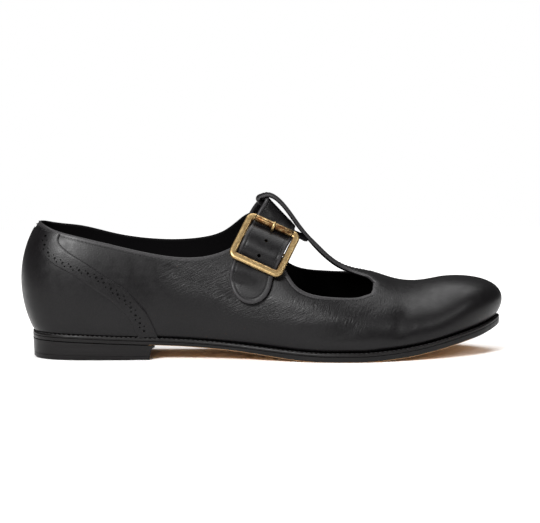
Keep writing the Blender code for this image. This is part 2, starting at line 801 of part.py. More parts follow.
def strap_line():
    """Cubic curve along the strap's middle, with its normals: inner quarter, bar, buckle, free end."""
    places = []
    for turn, along, lift in STRAP_INSIDE:
        places.append(over_last(turn, along, lift * STRAP))
    knots, _ = bar_line()
    where = np.linspace(knots[1], knots[-1], 400)
    centre, _, _ = bar_at(where)
    crossing = int(np.argmax(centre[:, 0] < BAR_CROSSING * LENGTH))
    reach = BAR_GRIP * STRAP_WIDTH / 2
    under, _, outward = bar_at(where[crossing] + reach * np.array([-1, 1]))
    under = under - outward * (WALL + 3.4 * GAP)
    chord = under[1] - under[0]
    facing = np.array((chord[2], 0, -chord[0])) / math.hypot(chord[0], chord[2])
    for share in (0.9, 0.0, -0.9):
        below = STRAP / 2 + BAR_CROWN * share**2
        across = np.array((0, share * BAR_HALF_WIDTH, 0))
        places.append((under.mean(axis=0) + across - facing * below, facing))
    _, _, _, out = buckle_axes()
    dive = ROLLER_UP - FRAME_BAR / 2 - GAP
    for up in (ROLLER_UP, 0.55 * dive, 0.0, -0.55 * dive, -dive, -ROLLER_UP - FRAME_BAR / 2):
        bulge = np.clip(1 - (up / (ROLLER_UP if up > 0 else dive)) ** 2, 0, 1)
        ends = STRAP_UNDER_ROLLER if up > 0 else STRAP_UNDER_FRAME
        lift = ends + (STRAP_OVER_BAR - ends) * bulge
        places.append((from_buckle(0.0, up, lift), out))
    for turn, along, lift in STRAP_END:
        places.append(over_last(turn, along, lift * STRAP))
    points = np.array([place for place, _ in places])
    normals = np.array([normal for _, normal in places])
    knots = np.concatenate([[0], np.cumsum(np.linalg.norm(np.diff(points, axis=0), axis=1))])
    return knots, cubic(knots, points), cubic(knots, normals)


def strap_axes(where):
    """Place, direction, normal and across direction of the strap at distances along it."""
    _, line, turns = strap_line()
    step = 0.1 * MM
    way = line(where + step) - line(where - step)
    way /= np.linalg.norm(way, axis=-1)[..., None]
    normal = turns(where)
    normal = normal - way * (normal * way).sum(-1)[..., None]
    normal /= np.linalg.norm(normal, axis=-1)[..., None]
    return line(where), way, normal, np.cross(way, normal)


def strap_half_width(where, end):
    """Half the strap's width, which rounds off towards its free end."""
    left = np.clip((TIP_ROUND - (end - where)) / TIP_ROUND, 0, 1)
    return STRAP_WIDTH / 2 * np.sqrt(1 - left**2)


def make_strap():
    knots, _, _ = strap_line()
    end = knots[-1]
    straight = np.linspace(0, end - TIP_ROUND, 34)
    tip = end - TIP_ROUND * (1 - np.sin(np.linspace(0, 0.47 * math.pi, 7)))[1:]
    where = np.concatenate([straight, tip])
    place, _, normal, across = strap_axes(where)
    half = strap_half_width(where, end)
    edge = np.minimum(STRAP_EDGE, half * 0.5)
    flat = half - edge
    zero = np.zeros_like(half)
    section = [
        (half, 0), (flat, 0.5), (zero, 0.5), (-flat, 0.5),
        (-half, 0), (-flat, -0.5), (zero, -0.5), (flat, -0.5),
    ]
    rows = [place + across * wide[:, None] + normal * high * STRAP for wide, high in section]
    grid = np.stack(rows, axis=1)
    faces = grid_faces(len(where), len(section), closed=True)
    first = list(range(len(section)))
    faces.append([v + (len(where) - 1) * len(section) for v in first])
    faces.append(first[::-1])
    return make("instep_strap", grid.reshape(-1, 3), faces, BLACK, 0.35)


def tube(name, points, radius, colour, roughness, metallic, sides=10):
    """Round rod along a line of points, with flat ends."""
    points = np.asarray(points, float)
    way = np.gradient(points, axis=0)
    way /= np.linalg.norm(way, axis=1)[:, None]
    _, x, _, _ = buckle_axes()
    across = x - way * (way @ x)[:, None]
    across /= np.linalg.norm(across, axis=1)[:, None]
    other = np.cross(way, across)
    angle = np.arange(sides) * 2 * math.pi / sides
    radius = np.broadcast_to(radius, len(points))[:, None, None]
    ring_points = across[:, None] * np.cos(angle)[:, None] + other[:, None] * np.sin(angle)[:, None]
    grid = points[:, None] + ring_points * radius
    faces = grid_faces(len(points), sides, closed=True)
    faces.append([v + (len(points) - 1) * sides for v in range(sides)])
    faces.append(list(range(sides))[::-1])
    return make(name, grid.reshape(-1, 3), faces, colour, roughness, metallic)


def rod_across(name, up, out, radius, half_length, sides=16):
    """Round rod across the strap, in the buckle's own axes."""
    _, x, y, z = buckle_axes()
    angle = np.arange(sides) * 2 * math.pi / sides
    grid = [from_buckle(end, up + radius * np.cos(angle), out + radius * np.sin(angle))
            for end in (-half_length, half_length)]
    faces = grid_faces(2, sides, closed=True)
    faces.append(list(range(sides))[::-1])
    faces.append([v + sides for v in range(sides)])
    return make(name, np.concatenate(grid), faces, BRASS, 0.35, 1.0)


def sleeve(name, up, out, radii, half_length, sides=16):
    """Open tube across the strap, in the buckle's own axes."""
    angle = np.arange(sides) * 2 * math.pi / sides
    rings = []
    for radius, end in ((radii[0], -1), (radii[0], 1), (radii[1], 1), (radii[1], -1)):
        ups, outs = up + radius * np.cos(angle), out + radius * np.sin(angle)
        rings.append(from_buckle(end * half_length, ups, outs))
    faces = [[v % (4 * sides) for v in face] for face in grid_faces(5, sides, closed=True)]
    return make(name, np.concatenate(rings), faces, BRASS, 0.35, 1.0)


def make_frame():
    """Rectangular frame with round corners: a bevelled bar that is thin and round inside the roller."""
    wide = (FRAME_WIDTH - FRAME_BAR) / 2
    high = (FRAME_LENGTH - FRAME_BAR) / 2
    radius = FRAME_CORNER - FRAME_BAR / 2
    turns = np.linspace(0, math.pi / 2, 5)
    path = []
    for corner in range(4):
        angle = turns + corner * math.pi / 2
        x = (wide - radius) * (1 if corner in (0, 3) else -1)
        y = (high - radius) * (1 if corner in (0, 1) else -1)
        ways = [(math.cos(a), math.sin(a)) for a in angle]
        path += [(x + radius * c, y + radius * s, c, s, 1) for c, s in ways]
        if corner == 0:
            ends = ROLLER_LENGTH / 2 + 2 * GAP
            path += [(ends, high, 0, 1, 1), (ends, high, 0, 1, 0)]
            path += [(-ends, high, 0, 1, 0), (-ends, high, 0, 1, 1)]
    bevel = 0.7 * MM
    half, thick = FRAME_BAR / 2, FRAME_THICKNESS / 2
    full = [(half, -thick + bevel), (half, thick - bevel), (half - bevel, thick), (-half + bevel, thick),
            (-half, thick - bevel), (-half, -thick + bevel),
            (-half + bevel, -thick), (half - bevel, -thick)]
    turn = (np.arange(8) - 0.5) * math.pi / 4
    thin = [(ROLLER_BAR_RADIUS * math.cos(a), ROLLER_BAR_RADIUS * math.sin(a)) for a in turn]
    points = []
    for x, y, out_x, out_y, size in path:
        for reach, lift in full if size else thin:
            points.append(from_buckle(x + out_x * reach, y + out_y * reach, lift))
    count = len(points)
    faces = [[v % count for v in face] for face in grid_faces(len(path) + 1, 8, closed=True)]
    frame = make("buckle_frame", points, faces, BRASS, 0.35, 1.0)
    bar = rod_across("centre_bar", 0.0, -CENTRE_BAR_DROP, CENTRE_BAR_RADIUS, wide)
    cut_with(frame, bar, "UNION")
    return frame


def prong_line():
    """Line of the prong from its eye on the centre bar, up through the strap and over the roller."""
    around = PRONG_RADIUS + ROLLER_RADIUS + 1.2 * GAP
    eye = CENTRE_BAR_RADIUS + GAP + CHAPE / 2
    low = STRAP_UNDER_ROLLER + 1.4 * STRAP / 2
    route = [(eye, -CENTRE_BAR_DROP), (0.3 * ROLLER_UP, low + 0.2 * STRAP), (0.55 * ROLLER_UP, low)]
    route.append((0.70 * ROLLER_UP, low + 0.15 * STRAP))
    for degrees in (185, 160, 135, 110, 85, 65):
        angle = math.radians(degrees)
        route.append((ROLLER_UP + around * math.cos(angle), around * math.sin(angle)))
    route = np.array(route)
    knots = np.concatenate([[0], np.cumsum(np.linalg.norm(np.diff(route, axis=0), axis=1))])
    fine = cubic(knots, route)(np.linspace(0, knots[-1], 22))
    return from_buckle(np.zeros(len(fine)), fine[:, 0], fine[:, 1])


def make_prong():
    eye = sleeve(
        "buckle_prong", 0.0, -CENTRE_BAR_DROP,
        (CENTRE_BAR_RADIUS + GAP + CHAPE, CENTRE_BAR_RADIUS + GAP), PRONG_RADIUS * 1.4,
    )
    line = prong_line()
    last_rows = (0, len(line) - 3, len(line) - 1)
    radius = PRONG_RADIUS * np.interp(np.arange(len(line)), last_rows, (0.9, 1, 0.55))
    rod = tube("prong_rod", line, radius, BRASS, 0.35, 1.0)
    cut_with(eye, rod, "UNION")
    return eye


def make_tab():
    """Leather tab that wraps the centre bar, with a slot for the prong."""
    outer = CENTRE_BAR_RADIUS + GAP + CHAPE
    inner = CENTRE_BAR_RADIUS + GAP
    angles = np.radians(np.linspace(-90, 90, 9))
    outline = [(outer * math.cos(a), -CENTRE_BAR_DROP + outer * math.sin(a)) for a in angles]
    floor = -CENTRE_BAR_DROP - outer
    outline += [(-CHAPE_LENGTH, floor + 2 * CHAPE), (-CHAPE_LENGTH, floor)]
    outline = np.array(outline)
    grid = [from_buckle(end * CHAPE_WIDTH / 2, outline[:, 0], outline[:, 1]) for end in (-1, 1)]
    count = len(outline)
    faces = grid_faces(2, count, closed=True)
    faces.append(list(range(count))[::-1])
    faces.append([v + count for v in range(count)])
    tab = make("buckle_tab", np.concatenate(grid), faces, BLACK, 0.5)
    cut_with(tab, rod_across("tab_bore", 0.0, -CENTRE_BAR_DROP, inner, CHAPE_WIDTH))
    corners = [(x, y, z) for z in (-1, 1) for x, y in ((-1, -0.6), (1, -0.6), (1, 1), (-1, 1))]
    down = -CENTRE_BAR_DROP
    box = [from_buckle(x * CHAPE_SLOT / 2, y * 2.5 * outer, down + z * 2 * outer) for x, y, z in corners]
    sides = [(0, 1, 2, 3), (4, 5, 6, 7), (0, 1, 5, 4), (1, 2, 6, 5), (2, 3, 7, 6), (3, 0, 4, 7)]
    cut_with(tab, make("tab_slot", box, sides, BLACK, 0.5))
    return tab


def cut_strap_holes(strap):
    """Hole that the prong stands in, and the spare ones at an even pitch below it."""
    route = prong_line()
    through_strap = route[6:17]
    cut_with(strap, tube("prong_hole", through_strap, PRONG_HOLE_RADIUS, BLACK, 0.5, 0.0))
    knots, line, _ = strap_line()
    where = np.linspace(0, knots[-1], 2000)
    nearest = np.linalg.norm(line(where) - from_buckle(0.0, PRONG_HOLE_UP, 0.0), axis=1).argmin()
    for number in (1, 2):
        place, _, normal, _ = strap_axes(where[nearest] + number * STRAP_HOLE_PITCH)
        ends = [place - normal * STRAP, place + normal * STRAP]
        cut_with(strap, tube(f"spare_hole_{number}", ends, STRAP_HOLE_RADIUS, BLACK, 0.5, 0.0))


def main():
    for obj in list(bpy.data.objects):
        bpy.data.objects.remove(obj, do_unlink=True)
    make_outsole()
    make_heel()
    make_welt()
    make_insole()
    make_upper()
    make_counter()
    cut_strap_holes(make_strap())
    make_frame()
    sleeve("buckle_roller", ROLLER_UP, 0.0, (ROLLER_RADIUS, ROLLER_BORE), ROLLER_LENGTH / 2)
    make_prong()
    make_tab()


main()
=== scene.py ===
"""Right shoe with an instep bar and a buckled cross strap: leather, stitching and brass around its frame.

Run as a script in Blender. +X is the toe, +Y the inner side of the foot and +Z up, in metres, and the
origin is on the floor under the heel. Every leather piece is worked out from one last, a closed form
whose profile lines run from the feather line, where wall and sole meet, up to the ridge of the instep.
"""

import math

import bmesh
import bpy
import numpy as np
from bpy.props import FloatProperty, FloatVectorProperty, PointerProperty
from bpy.types import Operator, Panel, PropertyGroup
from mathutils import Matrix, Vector


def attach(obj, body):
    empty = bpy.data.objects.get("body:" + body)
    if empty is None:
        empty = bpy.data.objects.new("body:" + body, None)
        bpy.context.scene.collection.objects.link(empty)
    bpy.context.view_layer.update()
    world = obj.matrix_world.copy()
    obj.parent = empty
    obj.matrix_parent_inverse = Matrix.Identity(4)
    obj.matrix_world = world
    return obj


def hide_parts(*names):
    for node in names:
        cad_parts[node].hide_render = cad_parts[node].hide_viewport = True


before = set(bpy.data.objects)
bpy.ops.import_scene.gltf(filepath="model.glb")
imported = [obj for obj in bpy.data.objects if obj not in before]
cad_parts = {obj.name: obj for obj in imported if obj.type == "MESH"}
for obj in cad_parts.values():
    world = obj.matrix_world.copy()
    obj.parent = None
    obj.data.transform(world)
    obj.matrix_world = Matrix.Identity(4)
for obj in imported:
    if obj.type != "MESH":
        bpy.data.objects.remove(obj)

bl_info = {
    "name": "Instep bar shoe",
    "version": (1, 0, 0),
    "blender": (4, 5, 0),
    "location": "3D View > Sidebar > Shoe",
    "description": "Leather, stitching and brass of a right shoe with an instep bar",
    "category": "Add Mesh",
}


MM = 0.001

# Driving sizes
LENGTH = 263 * MM  # back of the heel to the front of the feather line at the toe
BALL_WIDTH = 80.5 * MM  # feather line to feather line across the ball
UPPER_HEIGHT = 60 * MM  # heel seat to the topline at the back
HEEL_RISE = 9.7 * MM  # how much higher the feather line is at the back than at the ball
TOE_SPRING = 14.7 * MM  # how much higher it is at the tip of the toe
ORIGIN_BACK = 38 * MM  # back of the heel to the origin

WALL = 1.8 * MM  # upper leather with its lining
GAP = 0.3 * MM  # left between pieces that meet
OUTSOLE = 3.0 * MM
WAIST_OUTSOLE = 1.9 * MM  # the outsole is thinner from the waist back
WELT = 1.5 * MM
WELT_WIDTH = 9 * MM
WELT_MARGIN = 2.5 * MM  # sole beyond the feather line at the forefoot
HEEL_MARGIN = 1.2 * MM  # sole beyond the feather line at waist and heel
INSOLE = 2.2 * MM  # above the feather line

HEEL_BREAST = 70 * MM  # back of the heel to the front of its tread
BREAST_FLARE = 2.5 * MM  # the breast curves forward this much at its top
BREAST_FILLET = 5 * MM  # height of that curve
HEEL_TAPER = 0.6 * MM  # the heel's sides come in this much at the tread

BAR_HALF_WIDTH = 7 * MM
BAR_WALL = 2.6 * MM  # the bar is thicker than the rest of the upper
BAR_CROWN = 0.9 * MM
BAR_FADE = 12 * MM  # along the bar, from the foot's own section to an even one
BAR_START = 0.654  # share of LENGTH where the bar leaves the last

STRAP_WIDTH = 23.4 * MM
STRAP = 2.0 * MM
STRAP_HOLE_RADIUS = 1.0 * MM
PRONG_HOLE_RADIUS = 1.3 * MM
STRAP_HOLE_PITCH = 8.6 * MM

FRAME_WIDTH = 31 * MM
FRAME_LENGTH = 29.4 * MM
FRAME_CORNER = 4.2 * MM
FRAME_BAR = 3.3 * MM
FRAME_THICKNESS = 2.6 * MM
FRAME_LIFT = 3.6 * MM  # frame's mid plane above the outer face of the upper
ROLLER_RADIUS = 1.7 * MM
ROLLER_BORE = 1.15 * MM
ROLLER_LENGTH = 22.0 * MM
ROLLER_BAR_RADIUS = 0.85 * MM
CENTRE_BAR_RADIUS = 0.8 * MM
CENTRE_BAR_DROP = 1.2 * MM
PRONG_RADIUS = 0.8 * MM
CHAPE = 0.8 * MM
CHAPE_WIDTH = 18 * MM
CHAPE_LENGTH = 5.5 * MM
CHAPE_SLOT = 4.6 * MM

# Feather line. along: share of LENGTH. outer, inner: shares of BALL_WIDTH from the middle line.
FEATHER = [
    # along, outer, inner
    (0.030, 0.000, 0.000),
    (0.039, 0.150, 0.150),
    (0.062, 0.230, 0.230),
    (0.100, 0.280, 0.280),
    (0.160, 0.302, 0.295),
    (0.250, 0.308, 0.270),
    (0.380, 0.329, 0.240),
    (0.460, 0.376, 0.267),
    (0.540, 0.442, 0.329),
    (0.610, 0.494, 0.398),
    (0.670, 0.519, 0.451),
    (0.730, 0.512, 0.478),
    (0.790, 0.472, 0.470),
    (0.850, 0.410, 0.432),
    (0.905, 0.323, 0.366),
    (0.948, 0.224, 0.289),
    (0.980, 0.114, 0.199),
    (0.996, 0.020, 0.115),
]
# Front of the feather line: share of LENGTH, and share of BALL_WIDTH towards the inner side.
TOE_TIP = (1.000, 0.045)

# Height of the feather line. heel: share of HEEL_RISE. toe: share of TOE_SPRING.
SEAT = [
    # along, heel, toe
    (0.000, 1.00, 0.00),
    (0.095, 0.93, 0.00),
    (0.190, 0.82, 0.00),
    (0.262, 0.74, 0.00),
    (0.331, 0.66, 0.00),
    (0.407, 0.51, 0.00),
    (0.483, 0.31, 0.00),
    (0.559, 0.10, 0.00),
    (0.620, 0.00, 0.00),
    (0.703, 0.00, 0.00),
    (0.741, 0.00, 0.04),
    (0.783, 0.00, 0.11),
    (0.833, 0.00, 0.24),
    (0.882, 0.00, 0.42),
    (0.932, 0.00, 0.63),
    (0.970, 0.00, 0.81),
    (1.000, 0.00, 1.00),
]

# Ridge of the last. rise: share of UPPER_HEIGHT above the feather line. inward: share of BALL_WIDTH.
RIDGE = [
    # along, rise, inward
    (0.129, 1.310, 0.000),
    (0.228, 1.305, 0.000),
    (0.342, 1.300, 0.000),
    (0.418, 1.275, 0.000),
    (0.494, 1.217, 0.000),
    (0.544, 1.130, 0.000),
    (0.589, 0.993, 0.008),
    (0.627, 0.890, 0.018),
    (0.665, 0.758, 0.030),
    (0.703, 0.688, 0.042),
    (0.741, 0.644, 0.050),
    (0.783, 0.568, 0.050),
    (0.833, 0.513, 0.047),
    (0.882, 0.506, 0.045),
]

# Handles of the profile lines. lean, run: shares of BALL_WIDTH. rise, drop: shares of UPPER_HEIGHT.
# A line leaves the feather line along (lean out, rise up) and reaches the ridge from (run out, drop down).
PROFILE = [
    # along, outer lean, rise, run, inner lean, rise, run, drop
    (0.024, 0.156, 0.367, 0.474, 0.156, 0.367, 0.474, 0.267),
    (0.046, 0.138, 0.367, 0.418, 0.138, 0.367, 0.418, 0.242),
    (0.076, 0.112, 0.383, 0.348, 0.106, 0.383, 0.348, 0.200),
    (0.129, 0.099, 0.400, 0.298, 0.093, 0.400, 0.298, 0.167),
    (0.228, 0.099, 0.400, 0.286, 0.087, 0.417, 0.273, 0.150),
    (0.342, 0.093, 0.417, 0.286, 0.099, 0.433, 0.273, 0.117),
    (0.494, 0.087, 0.450, 0.273, 0.093, 0.450, 0.261, 0.075),
    (0.544, 0.099, 0.417, 0.273, 0.099, 0.417, 0.273, 0.050),
    (0.589, 0.106, 0.383, 0.286, 0.099, 0.400, 0.286, 0.025),
    (0.627, 0.112, 0.350, 0.311, 0.099, 0.367, 0.305, 0.008),
    (0.665, 0.112, 0.325, 0.323, 0.099, 0.350, 0.330, 0.000),
    (0.703, 0.106, 0.300, 0.323, 0.093, 0.333, 0.340, 0.000),
    (0.783, 0.087, 0.250, 0.311, 0.081, 0.265, 0.320, 0.000),
    (0.882, 0.090, 0.220, 0.275, 0.090, 0.220, 0.275, 0.000),
    (0.932, 0.112, 0.240, 0.345, 0.112, 0.240, 0.345, -0.020),
    (1.000, 0.125, 0.215, 0.395, 0.125, 0.215, 0.395, -0.040),
]

# Rims of the upper, from the back to the front end of the side openings. Heights: shares of UPPER_HEIGHT
# above the feather line.
OUTER_RIM = [
    # along, height
    (0.026, 1.003),
    (0.059, 0.945),
    (0.099, 0.906),
    (0.184, 0.841),
    (0.262, 0.777),
    (0.330, 0.747),
    (0.394, 0.785),
    (0.432, 0.858),
    (0.460, 0.925),
    (0.485, 0.953),
    (0.505, 0.935),
    (0.525, 0.868),
    (0.545, 0.740),
    (0.562, 0.620),
    (0.585, 0.545),
    (0.620, 0.512),
    (0.665, 0.493),
    (0.700, 0.492),
    (0.720, 0.507),
    (0.730, 0.537),
    (0.735, 0.590),
]
INNER_RIM = [
    # along, height
    (0.026, 1.003),
    (0.059, 0.968),
    (0.118, 0.942),
    (0.205, 0.873),
    (0.274, 0.840),
    (0.331, 0.841),
    (0.376, 0.868),
    (0.403, 0.900),
    (0.433, 0.968),
    (0.460, 1.078),
    (0.484, 1.158),
    (0.501, 1.122),
    (0.515, 1.025),
    (0.532, 0.905),
    (0.551, 0.775),
    (0.578, 0.680),
    (0.620, 0.640),
    (0.677, 0.630),
    (0.712, 0.640),
    (0.735, 0.652),
]

# Top edge of the counter, the same on both sides.
COUNTER_EDGE = [
    # along, height
    (0.026, 0.930),
    (0.050, 0.885),
    (0.066, 0.800),
    (0.085, 0.730),
    (0.143, 0.590),
    (0.192, 0.485),
    (0.232, 0.345),
    (0.260, 0.200),
    (0.281, 0.035),
]

# Half width of the bar where it grows out of the vamp: shares of the way from BAR_HALF_WIDTH to
# the front end of the side openings.
BAR_FLARE = [
    # along, share
    (0.654, 0.00),
    (0.679, 0.02),
    (0.701, 0.20),
    (0.715, 0.38),
    (0.727, 0.60),
    (0.735, 1.00),
]

# Top line of the bar in side view, from the vamp up, round the roll at its end and back below the strap.
# height: share of UPPER_HEIGHT above the feather line of the ball.
BAR_PATH = [
    # along, height
    (0.628, 0.900),
    (0.608, 0.988),
    (0.590, 1.080),
    (0.574, 1.178),
    (0.557, 1.278),
    (0.541, 1.352),
    (0.530, 1.385),
    (0.519, 1.398),
    (0.508, 1.389),
    (0.500, 1.366),
    (0.499, 1.334),
    (0.507, 1.298),
    (0.521, 1.242),
    (0.535, 1.178),
    (0.547, 1.112),
    (0.561, 1.044),
    (0.580, 1.006),
    (0.600, 0.963),
]
BAR_CROSSING = 0.556  # share of LENGTH where the strap's middle line crosses the bar's
BAR_GRIP = 0.97  # share of the strap's half width at which it touches the bar's underside

# Middle line of the strap over the last, from its sewn end on the inner quarter to its free end.
# turn: 0 at the outer feather line, 1 at the ridge, 2 at the inner feather line.
# lift: distance of the strap's middle from the upper's outer face, in thicknesses of the strap.
STRAP_INSIDE = [
    # turn, along, lift
    (1.52, 0.480, 0.80),
    (1.42, 0.497, 0.80),
    (1.30, 0.513, 0.95),
    (1.16, 0.527, 2.90),
]
STRAP_END = [
    # turn, along, lift
    (0.36, 0.472, 1.00),
    (0.265, 0.455, 1.50),
]
BUCKLE_AT = (0.605, 0.503)  # turn and share along at the middle of the buckle
BUCKLE_ABOVE = (0.80, 0.528)  # where the buckle's upward axis points
TIP_ROUND = 12.5 * MM

OPEN_BACK = 0.42  # from here to the front end of the side openings there are twice as many
EPSILON = 1e-4


def column(rows, index):
    return np.array([row[index] for row in rows])


def unit(vectors):
    """The vectors along the last axis at a length of one."""
    return vectors / np.linalg.norm(vectors, axis=-1)[..., None]


def lengths_along(points):
    """Distance from the first point to each point of a line."""
    return np.concatenate([[0], np.cumsum(np.linalg.norm(np.diff(points, axis=0), axis=1))])


def cubic(knots, values, closed=False):
    """Function of the cubic spline through values at knots, which also works for rows of coordinates."""
    values = np.asarray(values, float)
    flat = values.reshape(len(values), -1)
    count = len(knots)
    steps = np.diff(knots)
    matrix = np.eye(count)
    right = np.zeros((count, flat.shape[1]))
    for i in range(1, count - 1):
        matrix[i, i - 1 : i + 2] = steps[i - 1], 2 * (steps[i - 1] + steps[i]), steps[i]
        right[i] = 6 * ((flat[i + 1] - flat[i]) / steps[i] - (flat[i] - flat[i - 1]) / steps[i - 1])
    if closed:
        matrix[0] = 0
        matrix[0, [count - 2, 0, 1]] = steps[-1], 2 * (steps[-1] + steps[0]), steps[0]
        right[0] = 6 * ((flat[1] - flat[0]) / steps[0] - (flat[-1] - flat[-2]) / steps[-1])
        matrix[-1] = 0
        matrix[-1, [0, -1]] = 1, -1
    bends = np.linalg.solve(matrix, right)

    def at(where):
        where = np.asarray(where, float)
        cell = np.clip(np.searchsorted(knots, where) - 1, 0, count - 2)
        step = steps[cell][..., None]
        a = (np.asarray(knots)[cell + 1] - where)[..., None] / step
        b = 1 - a
        bent = ((a**3 - a) * bends[cell] + (b**3 - b) * bends[cell + 1]) * step**2 / 6
        found = a * flat[cell] + b * flat[cell + 1] + bent
        return found.reshape(where.shape + values.shape[1:])

    return at


def table(rows, index):
    """Function of the share along the shoe, from one column of a table."""
    return cubic(column(rows, 0), column(rows, index))


def smooth(low, high, where):
    """0 before low and 1 after high, with a soft step between."""
    share = np.clip((where - low) / (high - low), 0, 1)
    return share * share * (3 - 2 * share)


# Feather line

FEATHER_SAMPLES = 4001


def feather_sides():
    """Outer and inner half of the closed feather line as dense (along, across) rows, back to tip."""
    along = column(FEATHER, 0)
    outer = np.stack([along, -column(FEATHER, 1)], axis=1)
    inner = np.stack([along, column(FEATHER, 2)], axis=1)[1:]
    loop = np.concatenate([outer, [TOE_TIP], inner[::-1], outer[:1]]) * (LENGTH, BALL_WIDTH)
    knots = lengths_along(loop)
    dense = cubic(knots, loop, closed=True)(np.linspace(0, knots[-1], FEATHER_SAMPLES))[:-1]
    dense = np.roll(dense, -int(dense[:, 0].argmin()), axis=0)
    tip = int(dense[:, 0].argmax())
    return dense[: tip + 1], np.concatenate([dense[:1], dense[tip:][::-1]])


SIDES = dict(zip((-1, 1), feather_sides()))
BACK = SIDES[-1][0, 0] / LENGTH
TIP = SIDES[-1][-1, 0] / LENGTH
FRONT_END = OUTER_RIM[-1][0]
BALL_SEAT = OUTSOLE + WELT + 2 * GAP


def seat(along):
    """Height of the feather line above the floor, level along the flat spot of the tread."""
    heel = np.maximum(table(SEAT, 1)(along), 0)
    toe = np.maximum(table(SEAT, 2)(along), 0)
    return BALL_SEAT + HEEL_RISE * heel + TOE_SPRING * toe


def feather(side, along, margin=0.0):
    """Plan points (x, y) of the feather line on one side, moved outwards by a margin."""
    rows = SIDES[side]
    ends = np.gradient(rows, axis=0)
    ends[0] = (0, side)
    ends[-1] = (0, -side)
    ends = unit(ends)
    outward = np.stack([-ends[:, 1], ends[:, 0]], axis=1) * side
    x = np.clip(along, BACK, TIP) * LENGTH
    place = np.stack([np.interp(x, rows[:, 0], rows[:, i]) for i in (0, 1)], axis=-1)
    away = np.stack([np.interp(x, rows[:, 0], outward[:, i]) for i in (0, 1)], axis=-1)
    away = unit(away)
    return place + away * np.asarray(margin)[..., None]


# The last

FAN_BACK = 0.25
FAN_FRONT = 0.75


def ridge_share(along):
    """Share along at which a profile line meets the ridge: the lines fan out round heel and toe."""
    back = (RIDGE[0][0] - BACK) / (FAN_BACK - BACK) ** 2
    front = (TIP - RIDGE[-1][0]) / (TIP - FAN_FRONT) ** 2
    behind = np.clip(FAN_BACK - along, 0, None)
    ahead = np.clip(along - FAN_FRONT, 0, None)
    return along + back * behind**2 - front * ahead**2


def ridge(along):
    rise = table(RIDGE, 1)(along) * UPPER_HEIGHT + seat(along)
    return np.stack([along * LENGTH, table(RIDGE, 2)(along) * BALL_WIDTH, rise], axis=-1)


def last(side, along, v):
    """Point of the last: share v of the way up the profile line from the feather line to the ridge.

    The line is a cubic Bezier curve in the upright plane through its two ends.
    """
    along, v = np.broadcast_arrays(np.asarray(along, float), np.asarray(v, float))
    low = np.concatenate([feather(side, along), seat(along)[..., None]], axis=-1)
    high = ridge(ridge_share(along))
    out = (low - high) * (1, 1, 0)
    out = unit(out)
    first = 1 if side < 0 else 4
    lean, rise, run = (table(PROFILE, first + i)(along)[..., None] for i in range(3))
    drop = table(PROFILE, 7)(along)[..., None]
    up = np.array((0, 0, UPPER_HEIGHT))
    low_handle = low + out * lean * BALL_WIDTH + up * rise
    high_handle = high + out * run * BALL_WIDTH - up * drop
    v = v[..., None]
    w = 1 - v
    return w**3 * low + 3 * w * w * v * low_handle + 3 * w * v * v * high_handle + v**3 * high


def last_normal(side, along, v):
    """Outward unit normal of the last, from small steps along it and up it."""
    along, v = np.broadcast_arrays(np.asarray(along, float), np.asarray(v, float))
    a = np.clip(along, BACK + 2 * EPSILON, TIP - 2 * EPSILON)
    b = np.clip(v, EPSILON, 1 - EPSILON)
    forward = last(side, a + EPSILON, b) - last(side, a - EPSILON, b)
    upward = last(side, a, b + EPSILON) - last(side, a, b - EPSILON)
    normal = np.cross(forward, upward) * -side
    return unit(normal)


def rise_to_v(side, along, height):
    """Share v at which each profile line reaches a height, in shares of UPPER_HEIGHT above its foot."""
    along, height = np.broadcast_arrays(np.asarray(along, float), np.asarray(height, float))
    v = np.linspace(0, 1, 201)
    z = last(side, along[..., None], v)[..., 2] - seat(along)[..., None]
    wanted = height * UPPER_HEIGHT
    found = [np.interp(w, row, v) for w, row in zip(wanted.ravel(), z.reshape(-1, len(v)))]
    return np.array(found).reshape(along.shape)


def stations(first, end, count):
    """Shares along from first to end, out of a spacing finer round heel and toe and at the side openings."""
    full = (BACK + TIP) / 2 - (TIP - BACK) / 2 * np.cos(np.linspace(0, math.pi, count + 1))
    between = (full[1:] + full[:-1]) / 2
    middle = between[(between > OPEN_BACK) & (between < FRONT_END)]
    full = np.sort(np.concatenate([full, middle]))
    margin = 0.2 / count
    inside = full[(full > first + margin * (first > BACK)) & (full < end - margin * (end < TIP))]
    inside = inside[(inside > first) & (inside < end)]
    return np.concatenate([[first], inside, [end]])


def join_sides(outer, inner, row):
    """The two sides as patches that share one row, with the inner one turned so that both face outwards."""
    inner[row] = outer[row]
    return outer, inner[::-1]


def along_profile(side, along, distance):
    """Share v at a distance from the ridge, measured along the profile line."""
    v = np.linspace(1, 0, 401)
    line = last(side, along, v)
    length = lengths_along(line)
    return np.interp(distance, length, v)


def distance_to_ridge(side, along, v):
    line = last(side, along, np.linspace(v, 1, 200))
    return np.linalg.norm(np.diff(line, axis=0), axis=1).sum()


def flare_grid(rows_along, columns):
    """Grid of the bar's foot on the vamp, as rows of points from its outer to its inner edge."""
    share = np.linspace(0, 1, columns + 1)
    rows = []
    for along in np.linspace(BAR_START, FRONT_END, rows_along):
        row = []
        for side in (-1, 1):
            tip_v = rise_to_v(side, FRONT_END, (OUTER_RIM if side < 0 else INNER_RIM)[-1][1])
            reach = distance_to_ridge(side, FRONT_END, tip_v)
            half = BAR_HALF_WIDTH + (reach - BAR_HALF_WIDTH) * float(table(BAR_FLARE, 1)(along))
            if along == FRONT_END:
                v = np.linspace(tip_v, 1, columns + 1)
            else:
                v = along_profile(side, along, half * (1 - share))
            line = last(side, along, v)
            row.append(line if side < 0 else line[::-1][1:])
        rows.append(np.concatenate(row))
    return np.array(rows)


